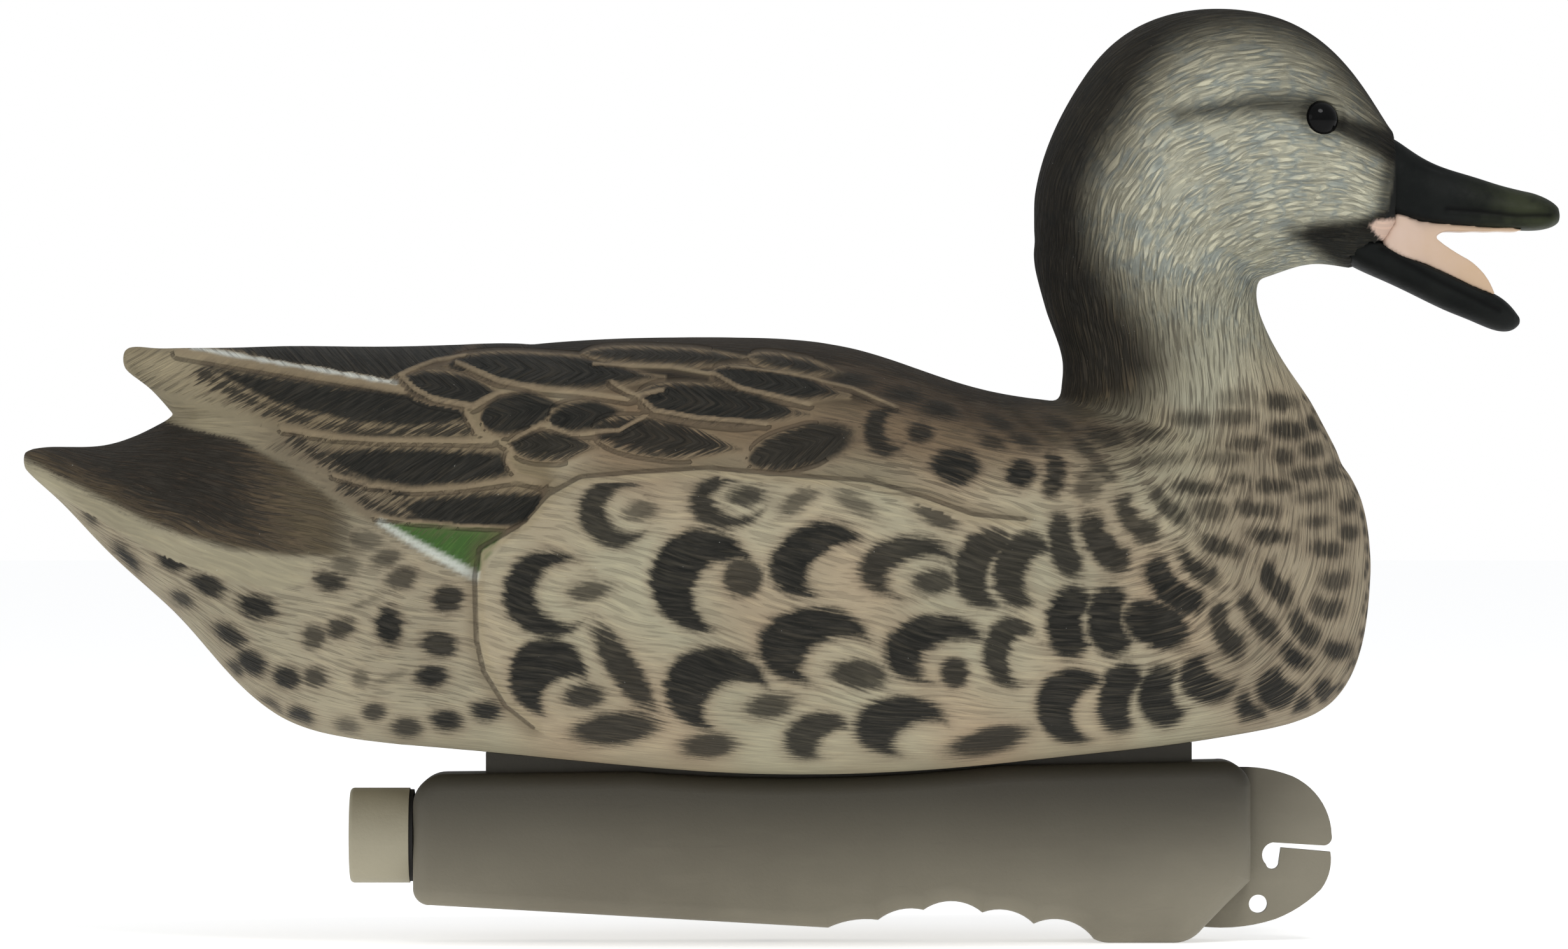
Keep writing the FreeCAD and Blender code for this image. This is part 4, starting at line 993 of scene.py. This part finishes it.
def paint_neck(skin):
    """Ground of neck and head, the dark crown and nape, and the streaks at the neck's foot."""
    x, z = skin.x, skin.z
    high = step_up(116.0, 127.0, z + 3.0 * np.sin(x * 0.35)) * step_up(58.0, 70.0, x)
    ground = mix(colour(*HEAD_PALE), colour(*HEAD_CREAM), step_up(165.0, 140.0, z))
    front = step_up(150.0, 128.0, z) * step_up(96.0, 116.0, x)
    skin.tone(mix(ground, colour(*NECK_BUFF), front), high)
    outline, _ = to_path(x, z, CROWN_LINE)
    rising = step_up(114.0, 128.0, z) * (x > 48)
    skin.crown = step_up(-6.5, 4.5, outline + 2.4 * step_up(0.5, 0.1, skin.sideways)) * rising
    skin.tone(CROWN_EDGE, step_up(-16.0, 1.0, outline) * rising * 0.6)
    skin.tone(CROWN_BLACK, skin.crown * 0.97)
    nape = step_up(8.0, -4.0, np.hypot((x - 62.0) / 1.25, z - 126.0)) * (x > 40)
    skin.tone(NAPE_GREY, nape * 0.6)
    foot = np.exp(-((x - 75.0) / 11.0) ** 2 - ((z - 117.0) / 9.0) ** 2)
    skin.tone(FOOT_BROWN, foot * 0.7)
    neck_groove = np.interp(z, (126, 148, 160), (1.1, 0.9, 0.3))
    skin.groove = np.where((z > 126.5) & (x > 50), neck_groove, skin.groove) + 0.7 * foot


def paint_face(skin):
    """Soft dark strokes of the face, the bill's and the mouth's paint on it, and its cut strokes."""
    x, z = skin.x, skin.z
    gloom = skin.crown
    for path, half, ends, soft, power in HEAD_SHADES:
        shade = step_up(-soft, soft * 0.6, line_depth(x, z, path, half, ends))
        shade = shade * power * (z > 150)
        skin.tone(FACE_BLACK, shade)
        gloom = np.maximum(gloom, shade)
    forward = (z > 140) & (x > 100)
    black = step_up(-0.4, 0.4, in_patch(x, z, BILL_PAINT)) * forward
    skin.tone(BILL_BLACK, black)
    pink = step_up(-0.4, 0.4, in_patch(x, z, MOUTH_PAINT)) * forward
    skin.tone(MOUTH_FLESH, pink)
    gloom = np.maximum(np.maximum(gloom, black), pink)
    strokes = step_up(128.0, 158.0, z + 0.2 * (x - 90.0)) * (x > 50) * (1 - 0.35 * gloom)
    skin.dash = strokes * (1 - black) * (1 - pink)
    skin.groove[black + pink > 0.3] = 0.0


def raise_eye_rims(skin):
    from_eye = np.hypot(skin.near_side[:, 0] - EYE[0], skin.near_side[:, 2] - EYE[1])
    ring = np.exp(-((from_eye - 4.9) / 0.8) ** 2) * (skin.out > 8)
    skin.relief += 0.6 * ring
    skin.tint = skin.tint * (1 - 0.45 * (ring * (skin.x > 100))[:, None])
    skin.groove = skin.groove * (1 - ring)


def calm_furrows(skin):
    """Furrows are shallow under the belly and die out where the barbs of two feathers meet."""
    skin.groove[skin.upward < -0.8] *= 0.4
    start, end = skin.edges
    meets = np.zeros(skin.count)
    meets[start[skin.barbs[start, 2] != skin.barbs[end, 2]]] = 1.0
    meets = np.maximum(meets, 2.0 * mean_around(meets, start, end, skin.count))
    skin.groove = skin.groove * np.clip(1.0 - meets, 0, 1)
    skin.streak = skin.streak * np.clip(1.0 - 0.8 * meets, 0, 1)


def raise_relief(skin):
    relief = 0.5 * skin.relief + 0.5 * mean_around(skin.relief, *skin.edges, skin.count)
    skin.places = skin.places + skin.normals * relief[:, None]
    skin.normals = normals_of(skin.places, skin.quads)


def make_skin():
    skin = Skin()
    for layer in (paint_marks, paint_ground, paint_back, paint_wing, paint_vanes, paint_coverts,
                  raise_ridges, paint_fringe, paint_speculum, paint_tail, carve_flank, paint_neck,
                  paint_face, raise_eye_rims, calm_furrows, raise_relief):
        layer(skin)
    return skin


def part_skin(skin):
    """Splits the skin at the neck into the hull's and the head's, whose shading still agrees."""
    middle = skin.places[skin.quads].mean(axis=1)
    head = (middle[:, 2] > NECK_PLANE) & (middle[:, 0] > 50.0)
    fields = skin.fields()
    pieces = {}
    for name, chosen in (("hull_skin", ~head), ("head_skin", head)):
        patch = skin.quads[chosen]
        used = np.zeros(skin.count, bool)
        used[patch] = True
        number = np.cumsum(used) - 1
        own = {field: values[used] for field, values in fields.items()}
        pieces[name] = build(name, skin.places[used], number[patch], own, skin.normals[used])
    return pieces


# ---- Materials --------------------------------------------------------------------------------


class Paint:
    """Small helper that lays out a node material."""

    def __init__(self, name, roughness=0.5, gloss=0.25):
        self.material = bpy.data.materials.new(name)
        self.material.use_nodes = True
        self.nodes = self.material.node_tree.nodes
        self.links = self.material.node_tree.links
        self.shader = self.nodes["Principled BSDF"]
        self.shader.inputs["Roughness"].default_value = roughness
        self.shader.inputs["Specular IOR Level"].default_value = gloss

    def put(self, socket, value):
        if hasattr(value, "is_output"):
            self.links.new(value, socket)
        elif hasattr(value, "__len__"):
            value = tuple(float(part) for part in value)
            wide = len(socket.default_value)
            socket.default_value = (value + (1.0,))[:wide] if wide == 4 else value
        else:
            socket.default_value = value

    def attribute(self, name, output="Vector"):
        node = self.nodes.new("ShaderNodeAttribute")
        node.attribute_name = name
        return node.outputs[output]

    def split(self, vector):
        node = self.nodes.new("ShaderNodeSeparateXYZ")
        self.put(node.inputs[0], vector)
        return node.outputs

    def spot(self):
        """Place on the object in metres."""
        return self.nodes.new("ShaderNodeTexCoord").outputs["Object"]

    def scaled(self, vector, factors):
        node = self.nodes.new("ShaderNodeVectorMath")
        node.operation = "MULTIPLY"
        self.put(node.inputs[0], vector)
        self.put(node.inputs[1], factors)
        return node.outputs[0]

    def noise(self, vector, scale=1.0, detail=2.0, rough=0.5, bent=0.0):
        node = self.nodes.new("ShaderNodeTexNoise")
        self.put(node.inputs["Vector"], vector)
        self.put(node.inputs["Scale"], scale)
        self.put(node.inputs["Detail"], detail)
        self.put(node.inputs["Roughness"], rough)
        self.put(node.inputs["Distortion"], bent)
        return node.outputs["Fac"]

    def cells(self, vector):
        """Distance to the border of irregular cells."""
        node = self.nodes.new("ShaderNodeTexVoronoi")
        node.feature = "DISTANCE_TO_EDGE"
        self.put(node.inputs["Vector"], vector)
        node.inputs["Scale"].default_value = 1.0
        return node.outputs["Distance"]

    def wavy(self, vector, scale, reach):
        """The vector pushed about by a soft noise."""
        noise = self.nodes.new("ShaderNodeTexNoise")
        self.put(noise.inputs["Vector"], vector)
        noise.inputs["Scale"].default_value = scale
        push = self.nodes.new("ShaderNodeVectorMath")
        push.operation = "MULTIPLY_ADD"
        self.put(push.inputs[0], noise.outputs["Color"])
        self.put(push.inputs[1], reach)
        self.put(push.inputs[2], vector)
        return push.outputs[0]

    def math(self, kind, first, second=0.0, third=None):
        node = self.nodes.new("ShaderNodeMath")
        node.operation = kind
        self.put(node.inputs[0], first)
        self.put(node.inputs[1], second)
        if third is not None:
            self.put(node.inputs[2], third)
        return node.outputs[0]

    def times(self, first, second):
        return self.math("MULTIPLY", first, second)

    def ramp(self, value, low, high, start=0.0, end=1.0, smooth_step=True):
        node = self.nodes.new("ShaderNodeMapRange")
        node.interpolation_type = "SMOOTHSTEP" if smooth_step else "LINEAR"
        for socket, given in zip(node.inputs[:5], (value, low, high, start, end)):
            self.put(socket, given)
        return node.outputs[0]

    def mix(self, share, first, second, kind="MIX"):
        node = self.nodes.new("ShaderNodeMix")
        node.data_type = "RGBA"
        node.blend_type = kind
        node.clamp_factor = True
        self.put(node.inputs[0], share)
        self.put(node.inputs[6], first)
        self.put(node.inputs[7], second)
        return node.outputs[2]

    def tinted(self, shade, factors):
        return self.mix(1.0, shade, factors, "MULTIPLY")

    def bump(self, height, depth, strength):
        node = self.nodes.new("ShaderNodeBump")
        self.put(node.inputs["Height"], height)
        node.inputs["Distance"].default_value = depth
        node.inputs["Strength"].default_value = strength
        return node.outputs[0]

    def finish(self, shade, roughness, normal=None):
        self.put(self.shader.inputs["Base Color"], shade)
        self.put(self.shader.inputs["Roughness"], roughness)
        if normal is not None:
            self.put(self.shader.inputs["Normal"], normal)
        return self.material


INK = (0.0135, 0.0135, 0.0115)


def feather_ground(paint, place, lines, strokes):
    """Ground tint with clouds, painted shade in the furrows, painted highlight on the barbs, and the
    head's bluish strokes.
    """
    furrow, ridge, groove = lines
    border, dash = strokes
    tint = paint.attribute("tint")
    cloud = paint.ramp(paint.noise(place, 42.0, 3.0, 0.55), 0.3, 0.7)
    shade = paint.tinted(tint, paint.mix(cloud, (0.9, 0.9, 0.9), (1.06, 1.06, 1.06)))
    # Painted shade in the furrows between the barbs.
    shade = paint.mix(paint.times(furrow, 0.58), shade, (0.066, 0.055, 0.04))
    patchy = paint.ramp(paint.noise(place, 170.0, 3.0, 0.65), 0.42, 0.6)
    wash = paint.times(paint.times(paint.ramp(border, 0.3, 0.04), patchy), dash)
    shade = paint.mix(paint.times(wash, 0.54), shade, paint.tinted(shade, (0.52, 0.65, 0.86)))
    cut = paint.times(paint.ramp(border, 0.15, 0.02), dash)
    shade = paint.mix(paint.times(cut, 0.5), shade, paint.tinted(shade, (0.3, 0.33, 0.38)))
    # Painted highlight on the barbs' ridges, stronger where the tint is dark.
    dark = paint.ramp(paint.split(tint)[0], 0.1, 0.02)
    ridge_highlight_gain = paint.mix(paint.times(dark, groove), (1.16, 1.15, 1.12), (2.2, 2.0, 1.75))
    return paint.mix(paint.times(ridge, 0.8), shade, paint.tinted(shade, ridge_highlight_gain))


def inked(paint, shade, streak, grain, lines):
    """The shade under dark marks, whose edges run out along the barbs."""
    _, ridge, groove = lines
    depth, strength, ragged = paint.split(paint.attribute("mark"))
    rag = paint.times(paint.times(paint.math("SUBTRACT", streak, 0.5), ragged), 6.0)
    rag = paint.math("MULTIPLY_ADD", paint.math("SUBTRACT", grain, 0.5), 0.9, rag)
    edge = paint.math("ADD", depth, rag)
    bare = paint.times(ridge, paint.ramp(groove, 0.7, 1.0, 0.05, 0.28))
    cover = paint.times(paint.ramp(edge, -1.0, 1.0), strength)
    cover = paint.times(cover, paint.math("SUBTRACT", 1.0, bare))
    halo = paint.times(paint.times(paint.ramp(edge, -2.6, 0.0), 0.3), strength)
    ink = paint.mix(paint.ramp(streak, 0.35, 0.75), INK, (0.036, 0.033, 0.027))
    return paint.mix(cover, paint.mix(halo, shade, (0.17, 0.12, 0.08)), ink)


def feather_paint(name):
    """Airbrushed matt paint over moulded feathers."""
    paint = Paint(name, 0.8, 0.1)
    place = paint.spot()
    barb = paint.attribute("barb")
    groove, dash, seam = paint.split(paint.attribute("fur"))
    grain = paint.noise(place, 900.0, 4.0, 0.65)
    streak = paint.noise(paint.scaled(barb, (0.12, 1.45, 1.0)), 1.0, 3.0, 0.62)
    along = paint.noise(paint.scaled(barb, (0.105, 1.3, 1.0)), 1.0, 1.0, 0.5, 0.2)
    # furrow darkens the colour as painted shade and sinks the bump; ridge lightens it as painted
    # highlight and raises it.
    furrow = paint.times(paint.ramp(along, 0.46, 0.36), groove)
    ridge = paint.ramp(along, 0.5, 0.66)
    lines = furrow, ridge, groove
    stroke = paint.wavy(paint.scaled(barb, (0.185, 0.86, 0.0)), 0.9, (1.0, 0.8, 0.0))
    border = paint.cells(stroke)
    carved = paint.ramp(seam, 0.95, 0.3)

    shade = feather_ground(paint, place, lines, (border, dash))
    shade = paint.mix(paint.times(carved, 0.6), shade, (0.055, 0.043, 0.03))
    shade = inked(paint, shade, streak, grain, lines)
    speck = paint.ramp(paint.noise(place, 1500.0, 2.0, 0.5), 0.76, 0.8)
    shade = paint.mix(paint.times(speck, 0.35), shade, (0.6, 0.6, 0.55))

    height = paint.math("SUBTRACT", paint.times(ridge, groove), furrow)
    height = paint.math("MULTIPLY_ADD", paint.ramp(border, 0.0, 0.34), paint.times(dash, 3.0), height)
    height = paint.math("SUBTRACT", height, paint.times(carved, 1.8))
    height = paint.math("MULTIPLY_ADD", grain, 0.18, height)
    rough = paint.ramp(grain, 0.2, 0.8, 0.7, 0.86, False)
    return paint.finish(shade, rough, paint.bump(height, 0.00038, 0.85))


def bill_paint():
    """Dark satin bill, with a painted highlight that makes its upper tip greener and lighter, and painted
    shade in its groove.
    """
    paint = Paint("bill_satin", 0.5, 0.07)
    place = paint.spot()
    ahead, _, up = paint.split(place)
    grain = paint.noise(place, 700.0, 4.0, 0.6)
    cloud = paint.noise(place, 110.0, 3.0, 0.55)
    shade = paint.mix(paint.ramp(cloud, 0.3, 0.7), (0.0055, 0.0065, 0.0062), (0.0095, 0.0106, 0.0098))
    # Painted highlight: greener and lighter over the upper bill's tip.
    tip = paint.times(paint.ramp(ahead, 0.152, 0.174), paint.ramp(cloud, 0.25, 0.7))
    tip = paint.times(tip, paint.ramp(up, 0.160, 0.166))
    shade = paint.mix(paint.times(tip, 0.85), shade, (0.040, 0.046, 0.0235))
    # Painted shade in the groove along the bill's edge.
    cut = paint.times(paint.attribute("groove", "Fac"), 0.8)
    shade = paint.mix(cut, shade, (0.002, 0.002, 0.002))
    rough = paint.ramp(grain, 0.2, 0.8, 0.44, 0.6, False)
    return paint.finish(shade, rough, paint.bump(paint.math("MULTIPLY_ADD", cloud, 0.5, grain),
                                                 0.00022, 0.4))


def mouth_paint():
    """Semi-gloss flesh pink, more orange where the brush thinned; deeper inside, a darker orange painted
    shade.
    """
    paint = Paint("mouth_pink")
    place = paint.spot()
    cloud = paint.noise(place, 160.0, 3.0, 0.6)
    grain = paint.noise(place, 1100.0, 3.0, 0.6)
    ahead = paint.ramp(paint.split(place)[0], 0.138, 0.162)
    shade = paint.mix(paint.math("MULTIPLY_ADD", cloud, 0.5, paint.times(ahead, 0.6)),
                      (0.60, 0.46, 0.39), (0.54, 0.38, 0.24))
    # Painted shade: darker deep inside, toward the mouth's corner at the head.
    deep = paint.ramp(paint.split(place)[0], 0.140, 0.1335)
    shade = paint.mix(paint.times(deep, 0.4), shade, (0.40, 0.24, 0.18))
    rough = paint.ramp(grain, 0.2, 0.8, 0.3, 0.46, False)
    return paint.finish(shade, rough, paint.bump(cloud, 0.0006, 0.35))


def eye_paint():
    paint = Paint("eye_gloss", 0.06, 0.08)
    place = paint.spot()
    shade = paint.mix(paint.noise(place, 300.0, 2.0, 0.5), (0.002, 0.002, 0.002),
                      (0.006, 0.006, 0.006))
    return paint.finish(shade, 0.08)


def moulded_paint(name, light, dark, rough_low=0.45, rough_high=0.62, shaded=None):
    """Moulded coloured plastic with faint flow marks, scuffs and fine grain.

    Between the two heights of shaded it darkens upward: a painted shadow, where the hull shades the keel.
    """
    paint = Paint(name)
    place = paint.spot()
    flow = paint.noise(paint.scaled(place, (60.0, 60.0, 260.0)), 1.0, 3.0, 0.55)
    cloud = paint.noise(place, 28.0, 3.0, 0.5)
    grain = paint.noise(place, 1300.0, 4.0, 0.65)
    scuff = paint.ramp(paint.noise(paint.scaled(place, (40.0, 90.0, 420.0)), 1.0, 4.0, 0.7),
                       0.64, 0.74)
    shade = paint.mix(paint.ramp(cloud, 0.32, 0.7), dark, light)
    shade = paint.mix(paint.times(paint.ramp(flow, 0.5, 0.75), 0.12), shade,
                      tuple(1.25 * part for part in light))
    shade = paint.mix(paint.times(scuff, 0.16), shade, tuple(0.6 * part for part in dark))
    if shaded:
        # Painted shadow under the hull: darker upward, weaker on the line tab.
        under = paint.ramp(paint.math("MULTIPLY_ADD", cloud, 0.006, paint.split(place)[2]), *shaded)
        under = paint.times(under, paint.ramp(paint.split(place)[0], 0.1085, 0.1045, 0.35, 1.0))
        shade = paint.mix(paint.times(under, 0.86), shade, (0.014, 0.013, 0.011))
    rough = paint.ramp(grain, 0.2, 0.8, rough_low, rough_high, False)
    height = paint.math("MULTIPLY_ADD", flow, 0.35, grain)
    return paint.finish(shade, rough, paint.bump(height, 0.00018, 0.45))


def steel_paint():
    paint = Paint("screw_steel")
    place = paint.spot()
    turned = paint.noise(paint.scaled(place, (200.0, 200.0, 2400.0)), 1.0, 3.0, 0.6)
    paint.shader.inputs["Metallic"].default_value = 1.0
    shade = paint.mix(turned, (0.42, 0.42, 0.41), (0.6, 0.6, 0.58))
    return paint.finish(shade, paint.ramp(turned, 0.3, 0.7, 0.25, 0.4, False),
                        paint.bump(turned, 0.00005, 0.4))


def sand_paint():
    paint = Paint("ballast_sand", 0.9)
    place = paint.spot()
    grain = paint.noise(place, 2200.0, 3.0, 0.7)
    shade = paint.mix(paint.ramp(grain, 0.35, 0.65), (0.22, 0.16, 0.10), (0.55, 0.45, 0.31))
    return paint.finish(shade, 0.9, paint.bump(grain, 0.0004, 0.9))


def dress(node, material):
    """Gives a carried-over CAD node its material."""
    node.data.materials.clear()
    node.data.materials.append(material)


# ---- Bill, mouth and eyes ---------------------------------------------------------------------

BILL_VOXEL = 0.00045


def fine_skin(name, node, rounds):
    """Fine smooth skin over one node: its places, quads and normals."""
    places, quads = remeshed(name, [NODES[node]], (), BILL_VOXEL)
    places = smooth(places, neighbours(quads), rounds)
    return places, quads, normals_of(places, quads)


def shape_bill(name, node):
    """Bill half with the groove along its edge, and the upper one's nostril and nail."""
    places, quads, normals = fine_skin(name, node, 14)
    x, _, z = places.T
    sideways = np.abs(normals[:, 1])
    relief = np.zeros(len(x))
    if node == "upper_bill":
        nostril = np.hypot((x - 149.4) / 3.2, (z - 180.2 + 0.28 * (x - 149.4)) / 1.1)
        relief -= 0.6 * np.exp(-nostril ** 2) * step_up(0.35, 0.7, sideways)
        groove, _ = to_path(x, z, ((152.0, 170.0), (160.0, 169.4), (168.0, 168.4), (176.0, 168.6)))
        relief -= 0.42 * np.exp(-(groove / 0.8) ** 2) * step_up(0.3, 0.6, sideways)
        relief += 0.15 * step_up(169.0, 173.0, x) * step_up(0.2, 0.7, normals[:, 2])
    else:
        groove, _ = to_path(x, z, ((137.0, 160.6), (150.0, 153.4), (164.0, 146.6)))
        relief -= 0.3 * np.exp(-(groove / 0.7) ** 2) * step_up(0.3, 0.6, sideways)
    # Where the groove runs; the bill's paint darkens it there as painted shade.
    line = np.exp(-(groove / 0.75) ** 2) * step_up(0.3, 0.6, sideways)
    places = places + normals * relief[:, None]
    return build(name, places, quads, {"groove": line}, normals_of(places, quads))


def shape_mouth():
    """Mouth lining, which swells at its root to close up with the head."""
    places, quads, normals = fine_skin("mouth_lining", "mouth_insert", 12)
    x, _, z = places.T
    relief = 0.05 * np.sin(x * 1.1 + z * 0.8) * step_up(134.0, 140.0, x)
    relief += 1.5 * step_up(147.0, 140.5, x) * step_up(0.3, 0.7, np.abs(normals[:, 1]))
    places = places + normals * relief[:, None]
    return build("mouth_lining", places, quads, {}, normals_of(places, quads))


# ---- Everything together ----------------------------------------------------------------------


def seat(piece, body, node, material):
    piece.data.materials.append(material)
    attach(piece, body)
    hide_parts(node)


def make_bird():
    """Skins that take the place of the CAD's hull, head, bill and mouth."""
    skins = part_skin(make_skin())
    satin = bill_paint()
    seat(skins["hull_skin"], "decoy", "hull_shell", feather_paint("feather_paint_hull"))
    seat(skins["head_skin"], "decoy", "head_shell", feather_paint("feather_paint_head"))
    for node in ("upper_bill", "lower_bill"):
        seat(shape_bill(node + "_skin", node), "decoy", node, satin)
    seat(shape_mouth(), "decoy", "mouth_insert", mouth_paint())


def dress_nodes():
    gloss = eye_paint()
    dress(NODES["eye_right"], gloss)
    dress(NODES["eye_left"], gloss)
    # The keel darkens upward under the hull, a painted shadow.
    dress(NODES["keel_shell"], moulded_paint("keel_plastic", (0.252, 0.230, 0.174), (0.203, 0.184, 0.139),
                                              shaded=(0.008, 0.047)))
    dress(NODES["keel_cap"], moulded_paint("cap_plastic", (0.372, 0.341, 0.250), (0.310, 0.281, 0.205)))
    rubber = moulded_paint("seal_rubber", (0.02, 0.019, 0.018), (0.012, 0.012, 0.012), 0.7, 0.85)
    for node in ("cap_gasket", "neck_seal", "screw_washers"):
        dress(NODES[node], rubber)
    dress(NODES["vent_plug"], moulded_paint("plug_plastic", (0.05, 0.048, 0.042), (0.035, 0.034, 0.03)))
    dress(NODES["keel_screws"], steel_paint())
    dress(NODES["keel_ballast"], sand_paint())


make_camera()
make_floor()
make_lights()
make_bird()
dress_nodes()
